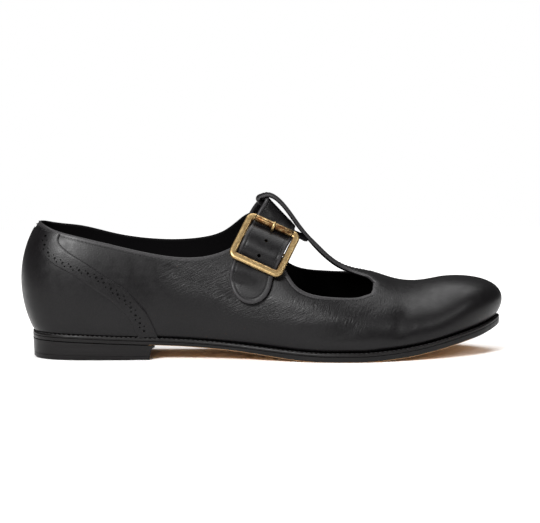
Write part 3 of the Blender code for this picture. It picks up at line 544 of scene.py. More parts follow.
def bar_line():
    """Knots and points (x, z) of the bar's top line, with two points of the ridge before its first row."""
    before = ridge(np.array([BAR_START + 0.02, BAR_START]))[:, [0, 2]]
    rows = np.array(BAR_PATH) * (LENGTH, UPPER_HEIGHT) + (0, BALL_SEAT)
    points = np.concatenate([before, rows])
    knots = lengths_along(points)
    return knots, points


def bar_at(where):
    """Place and outward normal of the bar's top line, in the shoe's middle plane."""
    knots, points = bar_line()
    line = cubic(knots, points)
    step = 0.05 * MM
    place = line(where)
    way = line(np.asarray(where) + step) - line(np.asarray(where) - step)
    way = unit(way)
    across = table(RIDGE, 2)(np.clip(place[..., 0] / LENGTH, 0.5, BAR_START)) * BALL_WIDTH
    centre = np.stack([place[..., 0], across, place[..., 1]], axis=-1)
    normal = np.stack([way[..., 1], np.zeros_like(across), -way[..., 0]], axis=-1)
    return centre, normal


def bar_grid(foot, finer, columns):
    """Grid of the bar above its foot: the crown of the foot's last row fades into an even one."""
    knots, _ = bar_line()
    where = np.interp(np.arange(0, len(knots) - 2 + 1e-9, 1 / finer), np.arange(len(knots) - 1), knots[1:])
    centre, normal = bar_at(where)
    share = np.linspace(-1, 1, 2 * columns + 1)
    even = centre[:, None] + share[:, None] * (0, BAR_HALF_WIDTH, 0)
    facing = normal @ normal[len(normal) // 4]
    crown = BAR_CROWN * facing * (1.5 - 0.5 * facing)
    even = even - (normal * crown[:, None])[:, None] * (share**2)[:, None]
    fade = smooth(0, BAR_FADE, where - where[0])[:, None, None]
    start = foot + (centre - centre[0])[:, None]
    return (start * (1 - fade) + even * fade)[::-1]


def sole_margin(along):
    return HEEL_MARGIN + (WELT_MARGIN - HEEL_MARGIN) * smooth(0.42, 0.62, along)


def ring(along, margin, z, open_front=False):
    """Closed line round the sole: outer side from back to front, then inner side back again."""
    keep = slice(1, None) if open_front else slice(1, -1)
    outer = feather(-1, along, margin)
    inner = feather(1, along, margin)[keep][::-1]
    line = np.concatenate([outer, inner])
    return np.column_stack([line, z(line[:, 0] / LENGTH)])


def welt_top(along):
    return seat(along) - GAP


def outsole_top(along):
    return seat(along) - GAP - WELT - GAP


def outsole_bottom(along):
    thickness = WAIST_OUTSOLE + (OUTSOLE - WAIST_OUTSOLE) * smooth(0.42, 0.60, along)
    return outsole_top(along) - thickness


def over_last(turn, along, height=0.0):
    """Point above the last, and its normal. turn: 0 at the outer edge, 1 at the ridge, 2 inside."""
    side = -1 if turn <= 1 else 1
    v = turn if turn <= 1 else 2 - turn
    normal = last_normal(side, along, v)
    return last(side, along, v) + normal * height, normal


def buckle_axes():
    """Middle of the buckle's frame, and its axes: across the strap, up along it, and away from the foot."""
    centre, normal = over_last(*BUCKLE_AT, FRAME_LIFT)
    above = over_last(*BUCKLE_ABOVE)[0]
    up = above - centre
    up -= normal * up.dot(normal)
    up = up / np.linalg.norm(up)
    return centre, np.cross(up, normal), up, normal


def from_buckle(across, up, out):
    """World point from a place in the buckle's own axes."""
    centre, x, y, z = buckle_axes()
    place = np.stack(np.broadcast_arrays(across, up, out), axis=-1)
    return centre + place @ np.array([x, y, z])


ROLLER_UP = (FRAME_LENGTH - FRAME_BAR) / 2
PRONG_HOLE_UP = 0.78 * ROLLER_UP
STRAP_OVER_BAR = -CENTRE_BAR_DROP + CENTRE_BAR_RADIUS + 2 * GAP + CHAPE + STRAP / 2
STRAP_UNDER_ROLLER = -ROLLER_RADIUS - STRAP / 2 - 3.5 * GAP
STRAP_UNDER_FRAME = -FRAME_THICKNESS / 2 - STRAP / 2 - 2 * GAP


def strap_line():
    """Cubic curve along the strap's middle, with its normals: inner quarter, bar, buckle, free end."""
    places = []
    for turn, along, lift in STRAP_INSIDE:
        places.append(over_last(turn, along, lift * STRAP))
    knots, _ = bar_line()
    where = np.linspace(knots[1], knots[-1], 400)
    centre, _ = bar_at(where)
    crossing = int(np.argmax(centre[:, 0] < BAR_CROSSING * LENGTH))
    reach = BAR_GRIP * STRAP_WIDTH / 2
    under, outward = bar_at(where[crossing] + reach * np.array([-1, 1]))
    under = under - outward * (WALL + 3.4 * GAP)
    chord = under[1] - under[0]
    facing = np.array((chord[2], 0, -chord[0])) / math.hypot(chord[0], chord[2])
    for share in (0.9, 0.0, -0.9):
        below = STRAP / 2 + BAR_CROWN * share**2
        across = np.array((0, share * BAR_HALF_WIDTH, 0))
        places.append((under.mean(axis=0) + across - facing * below, facing))
    _, _, _, out = buckle_axes()
    dive = ROLLER_UP - FRAME_BAR / 2 - GAP
    for up in (ROLLER_UP, 0.55 * dive, 0.0, -0.55 * dive, -dive, -ROLLER_UP - FRAME_BAR / 2):
        bulge = np.clip(1 - (up / (ROLLER_UP if up > 0 else dive)) ** 2, 0, 1)
        ends = STRAP_UNDER_ROLLER if up > 0 else STRAP_UNDER_FRAME
        lift = ends + (STRAP_OVER_BAR - ends) * bulge
        places.append((from_buckle(0.0, up, lift), out))
    for turn, along, lift in STRAP_END:
        places.append(over_last(turn, along, lift * STRAP))
    points = np.array([place for place, _ in places])
    normals = np.array([normal for _, normal in places])
    knots = lengths_along(points)
    return knots, cubic(knots, points), cubic(knots, normals)


def strap_axes(where):
    """Place, direction, normal and across direction of the strap at distances along it."""
    _, line, turns = strap_line()
    step = 0.1 * MM
    way = line(where + step) - line(where - step)
    way = unit(way)
    normal = turns(where)
    normal = normal - way * (normal * way).sum(-1)[..., None]
    normal = unit(normal)
    return line(where), way, normal, np.cross(way, normal)


def strap_half_width(where, end):
    """Half the strap's width, which rounds off towards its free end."""
    left = np.clip((TIP_ROUND - (end - where)) / TIP_ROUND, 0, 1)
    return STRAP_WIDTH / 2 * np.sqrt(1 - left**2)


def prong_line(count=22):
    """Line of the prong from its eye on the centre bar, up through the strap and over the roller."""
    around = PRONG_RADIUS + ROLLER_RADIUS + 1.2 * GAP
    eye = CENTRE_BAR_RADIUS + GAP + CHAPE / 2
    low = STRAP_UNDER_ROLLER + 1.4 * STRAP / 2
    route = [(eye, -CENTRE_BAR_DROP), (0.3 * ROLLER_UP, low + 0.2 * STRAP), (0.55 * ROLLER_UP, low)]
    route.append((0.70 * ROLLER_UP, low + 0.15 * STRAP))
    for degrees in (185, 160, 135, 110, 85, 65):
        angle = math.radians(degrees)
        route.append((ROLLER_UP + around * math.cos(angle), around * math.sin(angle)))
    route = np.array(route)
    knots = lengths_along(route)
    fine = cubic(knots, route)(np.linspace(0, knots[-1], count))
    return from_buckle(np.zeros(len(fine)), fine[:, 0], fine[:, 1])


# Meshes

WELD = 1e7  # points that round to the same tenth of a micrometre are one
SHARP_ANGLE = 50  # degrees, after a Boolean


def grid_quads(rows, columns, start=0, closed=False):
    """Quads of a grid stored row by row: each joins two neighbours of a row to those of the next row."""
    i = np.arange(rows - 1)[:, None]
    j = np.arange(columns if closed else columns - 1)[None]
    k = (j + 1) % columns
    corners = i * columns + j, i * columns + k, (i + 1) * columns + k, (i + 1) * columns + j
    return start + np.stack(corners, axis=-1).reshape(-1, 4)


def weld(grids, values):
    """Points, quads and a value for each point of several grids, with points that coincide made one."""
    points = np.concatenate([grid.reshape(-1, 3) for grid in grids])
    spread = [np.broadcast_to(value, grid.shape[:2]).ravel() for grid, value in zip(grids, values)]
    starts = np.cumsum([0] + [grid.shape[0] * grid.shape[1] for grid in grids])
    quads = [grid_quads(*grid.shape[:2], start) for grid, start in zip(grids, starts)]
    _, first, index = np.unique(np.round(points * WELD), axis=0, return_index=True, return_inverse=True)
    return points[first], index.reshape(-1)[np.concatenate(quads)][:, ::-1], np.concatenate(spread)[first]


def normals_of(points, quads):
    """Unit normals of the points: the sum of the cross products of the diagonals of the quads round each."""
    corners = points[quads]
    face = np.cross(corners[:, 2] - corners[:, 0], corners[:, 3] - corners[:, 1])
    total = np.zeros_like(points)
    for i in range(4):
        np.add.at(total, quads[:, i], face)
    return unit(total)


def rim_of(quads):
    """Edge points of an open mesh, and for each the edge point before it and after it."""
    edges = np.stack([quads, np.roll(quads, -1, axis=1)], axis=-1).reshape(-1, 2)
    _, index, count = np.unique(np.sort(edges, axis=1), axis=0, return_inverse=True, return_counts=True)
    open_edges = edges[count[index.reshape(-1)] == 1]
    after = dict(open_edges.tolist())
    before = {b: a for a, b in open_edges.tolist()}
    rim = np.array(sorted(after))
    return rim, np.array([before[a] for a in rim]), np.array([after[a] for a in rim])


def segment_distance(points, start, end):
    """Distance of each point to its own segment: to the nearest place between the segment's two ends."""
    way = end - start
    share = ((points - start) * way).sum(1) / np.maximum((way * way).sum(1), 1e-18)
    return np.linalg.norm(points - start - way * np.clip(share, 0, 1)[:, None], axis=1)


def nearest(points, others):
    """Index of the nearest of the other points for each point."""
    found = [((part[:, None] - others[None]) ** 2).sum(-1).argmin(1) for part in np.array_split(points, 60)]
    return np.concatenate(found)


def rim_distance(points, quads):
    """Distance of every point of an open mesh to its edge."""
    rim, before, after = rim_of(quads)
    close = nearest(points, points[rim])
    middle = points[rim[close]]
    back = segment_distance(points, points[before[close]], middle)
    return np.minimum(back, segment_distance(points, middle, points[after[close]]))


def rolled(points, quads, wall, relief=0.0):
    """Closed wall from an open mesh, with round edges.

    The outer face drops and the inner face rises along the normal by a quarter circle near the edge,
    so that both meet halfway through the wall. relief moves the outer face alone.
    """
    normal = normals_of(points, quads)
    inside = np.clip(1 - rim_distance(points, quads) / (wall / 2), 0, 1)
    roll = wall / 2 * (1 - np.sqrt(1 - inside**2))
    outer = points + normal * (np.where(inside < 1, relief, 0) - roll)[:, None]
    inner = points - normal * (wall - roll)[:, None]
    on_rim = rim_of(quads)[0]
    index = np.arange(len(points)) + len(points)
    index[on_rim] = on_rim
    return np.concatenate([outer, inner]), quads, index[quads][:, ::-1]


def build(name, points, faces, materials, spots=None, masks=None, sharp=180.0):
    """Object from points and faces. spots: material index of each face. masks: values of each point."""
    mesh = bpy.data.meshes.new(name)
    place = np.asarray(points) - (ORIGIN_BACK, 0, 0)
    rings = [list(dict.fromkeys(np.asarray(face).tolist())) for face in faces]
    mesh.from_pydata(place.tolist(), [], [face for face in rings if len(face) > 2])
    for material in materials:
        mesh.materials.append(material)
    if spots is not None:
        mesh.polygons.foreach_set("material_index", np.asarray(spots, np.int32))
    for mask, values in (masks or {}).items():
        mesh.attributes.new(mask, "FLOAT", "POINT").data.foreach_set("value", np.asarray(values, np.float32))
    tool = bmesh.new()
    tool.from_mesh(mesh)
    loose = [vert for vert in tool.verts if not vert.link_faces]
    bmesh.ops.delete(tool, geom=loose, context="VERTS")
    tool.to_mesh(mesh)
    tool.free()
    mesh.shade_smooth()
    if sharp < 180:
        mesh.set_sharp_from_angle(angle=math.radians(sharp))
    piece = bpy.data.objects.new(name, mesh)
    bpy.context.scene.collection.objects.link(piece)
    return piece


def carry(piece, slot, *nodes):
    """The piece rides with the shoe and stands for the named nodes; slot is not used."""
    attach(piece, "root")
    if nodes:
        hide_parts(*nodes)
    return piece


def tube_faces(rows, around, closed=False):
    """Faces of a closed tube stored ring by ring, with a flat face at each end unless it is a loop."""
    faces = grid_quads(rows, around, closed=True).tolist()
    if closed:
        last_ring = (rows - 1) * around
        faces += [[last_ring + j, last_ring + (j + 1) % around, (j + 1) % around, j] for j in range(around)]
    else:
        faces += [list(range(around))[::-1], [(rows - 1) * around + j for j in range(around)]]
    return faces


# Materials


def new_material(name):
    """A material with only its shader and output, and a function that adds a node and sets its inputs."""
    material = bpy.data.materials.new(name)
    material.use_nodes = True
    tree = material.node_tree

    def add(kind, **inputs):
        made = tree.nodes.new(kind)
        for key, value in inputs.items():
            socket = made.inputs[key.replace("_", " ")] if key.replace("_", " ") in made.inputs else None
            if socket is None:
                setattr(made, key, value)
            elif isinstance(value, bpy.types.NodeSocket):
                tree.links.new(value, socket)
            else:
                socket.default_value = value
        return made

    return material, tree.nodes["Principled BSDF"], add, tree.links.new


def mixed(add, share, first, second):
    """Colour between two colours by a share."""
    mix = add("ShaderNodeMix", data_type="RGBA")
    mix.inputs[0].default_value = 0.5
    for socket, value in ((mix.inputs[0], share), (mix.inputs[6], first), (mix.inputs[7], second)):
        if isinstance(value, bpy.types.NodeSocket):
            mix.id_data.links.new(value, socket)
        else:
            socket.default_value = value
    return mix.outputs[2]


def noise(add, scale, detail=3.0, roughness=0.5, stretch=(1, 1, 1), turn=0.0):
    """Noise over Object coordinates. stretch divides the scale along each axis, turn is about Y."""
    place = add("ShaderNodeTexCoord").outputs["Object"]
    turned = add("ShaderNodeMapping", Vector=place, Rotation=(0, turn, 0))
    shrunk = add("ShaderNodeMapping", Vector=turned.outputs[0], Scale=tuple(1 / s for s in stretch))
    settings = {"Scale": scale, "Detail": detail, "Roughness": roughness}
    return add("ShaderNodeTexNoise", Vector=shrunk.outputs[0], **settings).outputs[0]


def ranged(add, value, low, high, to_low=0.0, to_high=1.0):
    """A value mapped from one range to another, and held at its ends."""
    made = add("ShaderNodeMapRange", Value=value)
    for socket, number in zip(made.inputs[1:5], (low, high, to_low, to_high)):
        socket.default_value = number
    return made.outputs[0]


def maths(add, operation, first, second):
    made = add("ShaderNodeMath", operation=operation)
    for socket, value in zip(made.inputs[:2], (first, second)):
        if isinstance(value, bpy.types.NodeSocket):
            made.id_data.links.new(value, socket)
        else:
            socket.default_value = value
    return made.outputs[0]


def bumped(add, height, distance, below=None):
    made = add("ShaderNodeBump", Height=height, Distance=distance, Strength=1.0)
    if below is not None:
        made.id_data.links.new(below, made.inputs["Normal"])
    return made.outputs[0]


def mask_of(add, name):
    return add("ShaderNodeAttribute", attribute_name=name).outputs["Fac"]


def leather_material(name, settings, creased=True):
    """Smooth dyed leather: fine grain, hairline creases where the masks say, and paler rolled edges, which
    are a painted highlight.
    """
    material, shader, add, link = new_material(name)
    cloud = noise(add, 45, 3)
    dark = (*settings.leather_colour, 1)
    pale = (*[min(1, c * 1.35) for c in settings.leather_colour], 1)
    colour = mixed(add, ranged(add, cloud, 0.35, 0.7), dark, pale)
    grain = noise(add, 1500, 4, 0.6)
    pores = add("ShaderNodeTexVoronoi", Vector=add("ShaderNodeTexCoord").outputs["Object"], Scale=1100.0)
    height = maths(add, "ADD", grain, maths(add, "MULTIPLY", pores.outputs["Distance"], 0.6))
    normal = bumped(add, height, settings.grain_height)
    if creased:
        along = noise(add, 1250, 4, 0.62, (7, 2.5, 1), math.radians(24))
        upright = noise(add, 1150, 4, 0.6, (1, 2.5, 6), math.radians(-24))
        first = maths(add, "MULTIPLY", along, mask_of(add, "creasing"))
        second = maths(add, "MULTIPLY", upright, mask_of(add, "rippling"))
        normal = bumped(add, maths(add, "ADD", first, second), settings.crease_height, normal)
        # Painted highlight: the edge mask lifts the rolled edges to the paler edge colour.
        colour = mixed(add, mask_of(add, "edging"), colour, (*settings.edge_highlight_colour, 1))
    link(colour, shader.inputs["Base Color"])
    link(normal, shader.inputs["Normal"])
    link(ranged(add, noise(add, 260, 4), 0.3, 0.7, settings.roughness - 0.05, settings.roughness + 0.06),
         shader.inputs["Roughness"])
    shader.inputs["Specular IOR Level"].default_value = settings.gloss
    return material


def matt_material(name, colour, roughness, scale, height, gloss=0.2):
    """Matt cloth-like or burnished surface with a fine noise in its height and colour."""
    material, shader, add, link = new_material(name)
    grain = noise(add, scale, 4, 0.6)
    pale = (*[min(1, c * 1.5) for c in colour], 1)
    link(mixed(add, ranged(add, grain, 0.3, 0.75), (*colour, 1), pale), shader.inputs["Base Color"])
    link(bumped(add, grain, height), shader.inputs["Normal"])
    shader.inputs["Roughness"].default_value = roughness
    shader.inputs["Specular IOR Level"].default_value = gloss
    return material


def edge_material(name, settings):
    """Waxed edge of stacked leather: level layers and upright burnishing marks over black dye."""
    material, shader, add, link = new_material(name)
    layers = noise(add, 900, 3, 0.5, (60, 60, 1))
    marks = noise(add, 500, 3, 0.5, (1, 1, 12))
    colour = tuple(settings.edge_dye)
    pale = (*[min(1, c * 2.2) for c in colour], 1)
    link(mixed(add, ranged(add, layers, 0.4, 0.75), (*colour, 1), pale), shader.inputs["Base Color"])
    height = maths(add, "ADD", layers, maths(add, "MULTIPLY", marks, 0.4))
    link(bumped(add, height, 0.00006), shader.inputs["Normal"])
    link(ranged(add, marks, 0.3, 0.7, 0.34, 0.5), shader.inputs["Roughness"])
    shader.inputs["Specular IOR Level"].default_value = 0.18
    return material


def brass_material(name, settings):
    """Antiqued brass: bright on the crowns, brown in the patches and where the mask says, which holds patina
    and, on the roller, painted shade.
    """
    material, shader, add, link = new_material(name)
    brushed = noise(add, 700, 4, 0.6, (1, 1, 1))
    blotch = noise(add, 330, 4, 0.65)
    bright = (*settings.brass_colour, 1)
    warm = (*settings.brass_shade, 1)
    brown = (*settings.patina_and_shade_colour, 1)
    colour = mixed(add, ranged(add, brushed, 0.35, 0.7), bright, warm)
    # The mask brings in patina, and on the roller painted shade.
    patchy = maths(add, "MULTIPLY", ranged(add, blotch, 0.25, 0.55), mask_of(add, "patina"))
    link(mixed(add, patchy, colour, brown), shader.inputs["Base Color"])
    shader.inputs["Metallic"].default_value = 1.0
    link(ranged(add, blotch, 0.3, 0.7, 0.33, 0.46), shader.inputs["Roughness"])
    link(bumped(add, brushed, 0.00002), shader.inputs["Normal"])
    return material


# Upper

SIDE_STATIONS = 150
SIDE_ROWS = 24
EDGE_ROWS = 16
EDGE_SHARE = 0.86  # share of the wall's height from which the rows are close together
CROWN_ROWS = 16
BAND = 2.3 * MM  # from the edge of the leather to its stitches
STITCH_DEPTH = 0.12 * MM
STITCH_GROOVE = 0.3 * MM  # half width of the groove that the stitches lie in
RIM_LOW = 0.25  # share of UPPER_HEIGHT below which an edge is the feather line, not the collar

# Soft creases of the outer face. Place: shares of LENGTH and UPPER_HEIGHT. Sizes and depth: mm.
# turn: degrees.
CREASES = [
    # side, along, height, half length, half width, turn, depth
    (-1, 0.785, 0.215, 9, 6.5, 70, 0.75),
    (-1, 0.668, 0.205, 15, 6.5, 8, 0.55),
    (-1, 0.715, 0.345, 16, 4.0, 35, 0.22),
    (-1, 0.360, 0.560, 17, 3.4, -22, 0.30),
    (-1, 0.392, 0.490, 14, 2.6, -28, 0.25),
    (-1, 0.330, 0.620, 13, 2.4, -20, 0.20),
    (-1, 0.520, 0.360, 20, 3.2, -8, 0.18),
    (-1, 0.250, 0.520, 12, 5.0, -60, 0.30),
    (-1, 0.150, 0.300, 14, 8.0, -35, 0.25),
    (1, 0.400, 0.560, 16, 3.2, -20, 0.28),
    (1, 0.690, 0.330, 16, 4.5, 20, 0.35),
    (1, 0.770, 0.230, 9, 5.5, 65, 0.50),
]

# Patches of hairline creases: creasing runs along the shoe, rippling up and down.
WRINKLED = [
    # along, height, half length, half height
    (0.365, 0.560, 0.060, 0.17),
    (0.500, 0.330, 0.080, 0.10),
]
RIPPLED = [
    # along, height, half length, half height
    (0.700, 0.380, 0.070, 0.16),
    (0.620, 0.400, 0.050, 0.08),
]


def shares(points):
    """Share along, share of height above the feather line, and side, of points near the last."""
    along = points[:, 0] / LENGTH
    height = (points[:, 2] - seat(along)) / UPPER_HEIGHT
    middle = table(RIDGE, 2)(np.clip(along, RIDGE[0][0], RIDGE[-1][0])) * BALL_WIDTH
    return along, height, np.where(points[:, 1] < middle, -1, 1)


def crease_relief(points, depth):
    """Height of the soft creases: for each, a trough with a low swell on both sides, fading at its ends."""
    along, height, side = shares(points)
    total = np.zeros(len(points))
    for which, a, h, half_length, half_width, turn, deep in CREASES:
        x = (along - a) * LENGTH / MM
        z = (height - h) * UPPER_HEIGHT / MM
        c, s = math.cos(math.radians(turn)), math.sin(math.radians(turn))
        u, w = (x * c + z * s) / half_length, (z * c - x * s) / half_width
        trough = (1 - 1.2 * w * w) * np.exp(-w * w - u * u)
        total -= np.where(side == which, deep * trough, 0)
    return total * MM * depth


def patches(points, rows):
    """0 to 1 inside soft oval patches, given by their middles and half sizes."""
    along, height, _ = shares(points)
    total = np.zeros(len(points))
    for a, h, half_length, half_height in rows:
        total += np.exp(-(((along - a) / half_length) ** 2) - ((height - h) / half_height) ** 2)
    return np.clip(total, 0, 1)


def wall_shares():
    """Shares up the wall from feather line to edge, close together near the edge."""
    low = np.linspace(0, EDGE_SHARE, SIDE_ROWS + 1)
    return np.concatenate([low, np.linspace(EDGE_SHARE, 1, EDGE_ROWS + 1)[1:]])


def upper_surface():
    """Points, quads and wall of the upper's outer face: both walls, vamp, and the bar with its foot."""
    back = stations(BACK, FRONT_END, SIDE_STATIONS)
    front = stations(FRONT_END, TIP, SIDE_STATIONS)
    rise = wall_shares()
    walls, vamps = [], []
    for side, rim in ((-1, OUTER_RIM), (1, INNER_RIM)):
        top = rise_to_v(side, back, table(rim, 1)(back))
        walls.append(last(side, back[:, None], top[:, None] * rise))
        end = rise_to_v(side, FRONT_END, rim[-1][1])
        v = np.concatenate([end * rise, np.linspace(end, 1, CROWN_ROWS + 1)[1:]])
        vamps.append(last(side, front[:, None], v))
    grids = [*join_sides(*walls, 0), *join_sides(*vamps, -1)]
    foot = flare_grid(48, CROWN_ROWS)
    bar = bar_grid(foot[0], 5, CROWN_ROWS)
    thicker = BAR_WALL - WALL
    foot_wall = WALL + thicker * smooth(1, 0, np.linspace(0, 1, len(foot)))
    bar_wall = WALL + thicker * smooth(0.86, 0.97, np.linspace(0, 1, len(bar)))
    return weld([*grids, foot, bar], [WALL] * 4 + [foot_wall[:, None], bar_wall[:, None]])


def edge_line(points, quads, low=0.3):
    """Ordered closed line of the top edge, with its direction, outward normal and way out of the leather."""
    rim, _, after = rim_of(quads)
    following = dict(zip(rim.tolist(), after.tolist()))
    _, height, _ = shares(points[rim])
    start = int(rim[height > low][0])
    line = [start]
    while following[line[-1]] != start:
        line.append(following[line[-1]])
    place = points[line]
    way = np.roll(place, -1, axis=0) - np.roll(place, 1, axis=0)
    way = unit(way)
    normal = normals_of(points, quads)[line]
    return place, way, normal, np.cross(way, normal)


def onto(line, points, normals):
    """A line of points moved along the normals onto a surface."""
    near = nearest(line, points)
    normal = normals[near]
    return line - normal * ((line - points[near]) * normal).sum(1)[:, None], normal


class SHOE_OT_upper(Operator):
    """One leather wall over the last, open at the collar and at both sides below the instep bar"""

    bl_idname = "shoe.upper"
    bl_label = "Upper"

    def execute(self, context):
        leather = context.scene.shoe_leather
        points, quads, wall = upper_surface()
        distance = rim_distance(points, quads)
        _, height, _ = shares(points)
        near_edge = np.where(height > RIM_LOW, distance, 1.0)
        relief = crease_relief(points, leather.crease_depth) * smooth(2 * MM, 9 * MM, distance)
        relief -= STITCH_DEPTH * np.exp(-(((near_edge - BAND) / STITCH_GROOVE) ** 2))
        shell, outer, inner = rolled(points, quads, wall, relief)
        masks = {
            "creasing": patches(points, WRINKLED),
            "rippling": patches(points, RIPPLED),
            # Painted highlight: a paler band about 2 mm wide along the collar and the openings.
            "edging": 1 - smooth(1.9 * MM, 2.3 * MM, near_edge),
        }
        masks = {name: np.concatenate([values, values]) for name, values in masks.items()}
        skin = leather_material("upper_leather", leather)
        lining = matt_material("lining_leather", tuple(leather.lining_colour), 0.75, 900, 0.00003, 0.05)
        spots = np.repeat([0, 1], [len(outer), len(inner)])
        piece = build("upper_leather", shell, np.concatenate([outer, inner]), [skin, lining], spots, masks)
        carry(piece, "upper_leather", "upper")
        return {"FINISHED"}


# Counter

# Lines of the counter's trim, from the collar to the welt. Shares of LENGTH and UPPER_HEIGHT.
TRIM = [
    # lower stitches: along, height; holes: along, height; upper stitches: along, height
    (0.041, 0.935, 0.051, 0.920, 0.071, 0.905),
    (0.042, 0.880, 0.052, 0.865, 0.070, 0.878),
    (0.045, 0.807, 0.055, 0.795, 0.072, 0.825),
    (0.055, 0.722, 0.066, 0.722, 0.085, 0.765),
    (0.079, 0.630, 0.090, 0.650, 0.106, 0.706),
    (0.112, 0.560, 0.124, 0.592, 0.138, 0.636),
    (0.150, 0.462, 0.162, 0.524, 0.174, 0.545),
    (0.183, 0.364, 0.196, 0.412, 0.208, 0.452),
    (0.207, 0.280, 0.221, 0.318, 0.236, 0.334),
    (0.227, 0.165, 0.241, 0.180, 0.257, 0.215),
    (0.246, 0.003, 0.262, 0.010, 0.279, 0.009),
]
TRIM_STATIONS = 240
TRIM_ROWS = 22
TRIM_MARGIN = 0.20  # beyond both rows of stitches, as a share of half the trim's width
TRIM_WALL = 0.5 * MM
TRIM_LIFT = 0.75 * MM  # outer face of the trim above the upper
COUNTER_LIFT = TRIM_LIFT - 0.12 * MM  # outer face of the counter round it
BIG_HOLE = 0.72 * MM
SMALL_HOLE = 0.43 * MM
HOLE_PITCH = 4.7 * MM
PAIR_OFFSET = 1.25 * MM


def trim_place(side, share, across):
    """Point of the last: share along the trim, and across it from -1 (lower stitches) to 1 (upper)."""
    share, across = np.broadcast_arrays(share, across)
    knots = np.linspace(0, 1, len(TRIM))
    low, mid, high = (cubic(knots, np.array(TRIM)[:, i : i + 2])(np.clip(share, 0, 1)) for i in (0, 2, 4))
    w = across[..., None]
    place = mid + (high - low) / 2 * w + ((high + low) / 2 - mid) * w * w
    v = rise_to_v(side, place[..., 0], place[..., 1])
    return last(side, place[..., 0], v), last_normal(side, place[..., 0], v)


def evenly(path, pitch):
    """Shares along a dense path of points at an even pitch, from half a pitch after its start."""
    length = lengths_along(path)
    count = max(int(length[-1] / pitch), 1)
    return np.interp((np.arange(count) + 0.5) * length[-1] / count, length, np.linspace(0, 1, len(path)))


def punches(side):
    """Middle, normal and radius of every hole: large ones in a row, with a small pair between each two."""
    share = np.linspace(0.015, 0.985, 600)
    row, _ = trim_place(side, share, np.zeros_like(share))
    large = 0.015 + 0.97 * evenly(row, HOLE_PITCH)
    between = (large[1:] + large[:-1]) / 2
    found = [(*trim_place(side, large, np.zeros_like(large)), np.full(len(large), BIG_HOLE))]
    for way in (-1, 1):
        place, normal = trim_place(side, between, np.zeros_like(between))
        ahead, _ = trim_place(side, between, np.full_like(between, 0.2))
        across = ahead - place
        across = unit(across)
        found.append((place + across * way * PAIR_OFFSET, normal, np.full(len(between), SMALL_HOLE)))
    return [np.concatenate(parts) for parts in zip(*found)]


def rods(place, normal, radius, low, high, sides=10):
    """Points and faces of closed round rods along the normals, from low to high above each place."""
    side = np.cross(normal, (0, 0, 1.0))
    side = unit(side)
    other = np.cross(normal, side)
    angle = np.arange(sides) * 2 * math.pi / sides
    around = side[:, None] * np.cos(angle)[:, None] + other[:, None] * np.sin(angle)[:, None]
    rim = place[:, None] + around * radius[:, None, None]
    rings = [rim + normal[:, None] * lift for lift in (low, high)]
    points = np.concatenate(rings, axis=1).reshape(-1, 3)
    faces = []
    for start in range(0, len(points), 2 * sides):
        faces += (grid_quads(2, sides, start, closed=True)[:, ::-1]).tolist()
        faces += [list(range(start, start + sides)), list(range(start + sides, start + 2 * sides))[::-1]]
    return points, faces


def punch(piece, points, faces):
    """Cuts closed shapes out of a piece, and keeps only the piece."""
    cutter = build("cutter", points, faces, [])
    tool = bmesh.new()
    tool.from_mesh(cutter.data)
    bmesh.ops.recalc_face_normals(tool, faces=tool.faces)
    tool.to_mesh(cutter.data)
    tool.free()
    combine(piece, cutter, "DIFFERENCE")


def combine(piece, other, operation):
    """Applies a Boolean with another shape to a piece, and removes that shape."""
    boolean = piece.modifiers.new("combine", "BOOLEAN")
    boolean.operation = operation
    boolean.solver = "EXACT"
    boolean.object = other
    bpy.context.view_layer.update()
    mesh = bpy.data.meshes.new_from_object(piece.evaluated_get(bpy.context.evaluated_depsgraph_get()))
    piece.modifiers.clear()
    piece.data = mesh
    bpy.data.objects.remove(other, do_unlink=True)
    mesh.shade_smooth()
    mesh.set_sharp_from_angle(angle=math.radians(SHARP_ANGLE))


class SHOE_OT_counter(Operator):
    """Counter round the heel, with a punched trim between two rows of stitches along its edge"""

    bl_idname = "shoe.counter"
    bl_label = "Heel counter"

    def execute(self, context):
        leather = context.scene.shoe_leather
        along = stations(BACK, COUNTER_EDGE[-1][0], SIDE_STATIONS)
        grids = []
        for side in (-1, 1):
            foot = rise_to_v(side, along, np.full_like(along, 0.01))
            top = rise_to_v(side, along, table(COUNTER_EDGE, 1)(along))
            v = foot[:, None] + (top - foot)[:, None] * wall_shares()
            normal = last_normal(side, along[:, None], v)
            grid = last(side, along[:, None], v) + normal * COUNTER_LIFT
            grid[0, :, 1] = 0
            grids.append(grid)
        points, quads, _ = weld(join_sides(*grids, 0), [0.0, 0.0])
        shell, outer, inner = rolled(points, quads, TRIM_WALL)
        skin = leather_material("counter_leather", leather, creased=False)
        piece = build("heel_counter", shell, np.concatenate([outer, inner]), [skin])
        for side in (-1, 1):
            middle, normal, radius = punches(side)
            punch(piece, *rods(middle, normal, radius, 0, TRIM_LIFT))
        carry(piece, "counter_leather", "counter")
        for side, name in ((-1, "outer_trim"), (1, "inner_trim")):
            share = np.linspace(0, 1, TRIM_STATIONS)[:, None]
            across = np.linspace(-1 - TRIM_MARGIN, 1 + TRIM_MARGIN, TRIM_ROWS)
            place, normal = trim_place(side, share, across)
            grid = place + normal * TRIM_LIFT
            points, quads, _ = weld([grid if side > 0 else grid[::-1]], [0.0])
            shell, outer, inner = rolled(points, quads, TRIM_WALL)
            trim = build(name, shell, np.concatenate([outer, inner]), [skin])
            middle, normal, radius = punches(side)
            punch(trim, *rods(middle, normal, radius, TRIM_LIFT - 2 * TRIM_WALL, TRIM_LIFT + TRIM_WALL))
            carry(trim, "counter_leather")
        return {"FINISHED"}


# Sole

SOLE_STATIONS = 220
BREAST_ROWS = 14
SOLE_SHARP = 35  # degrees
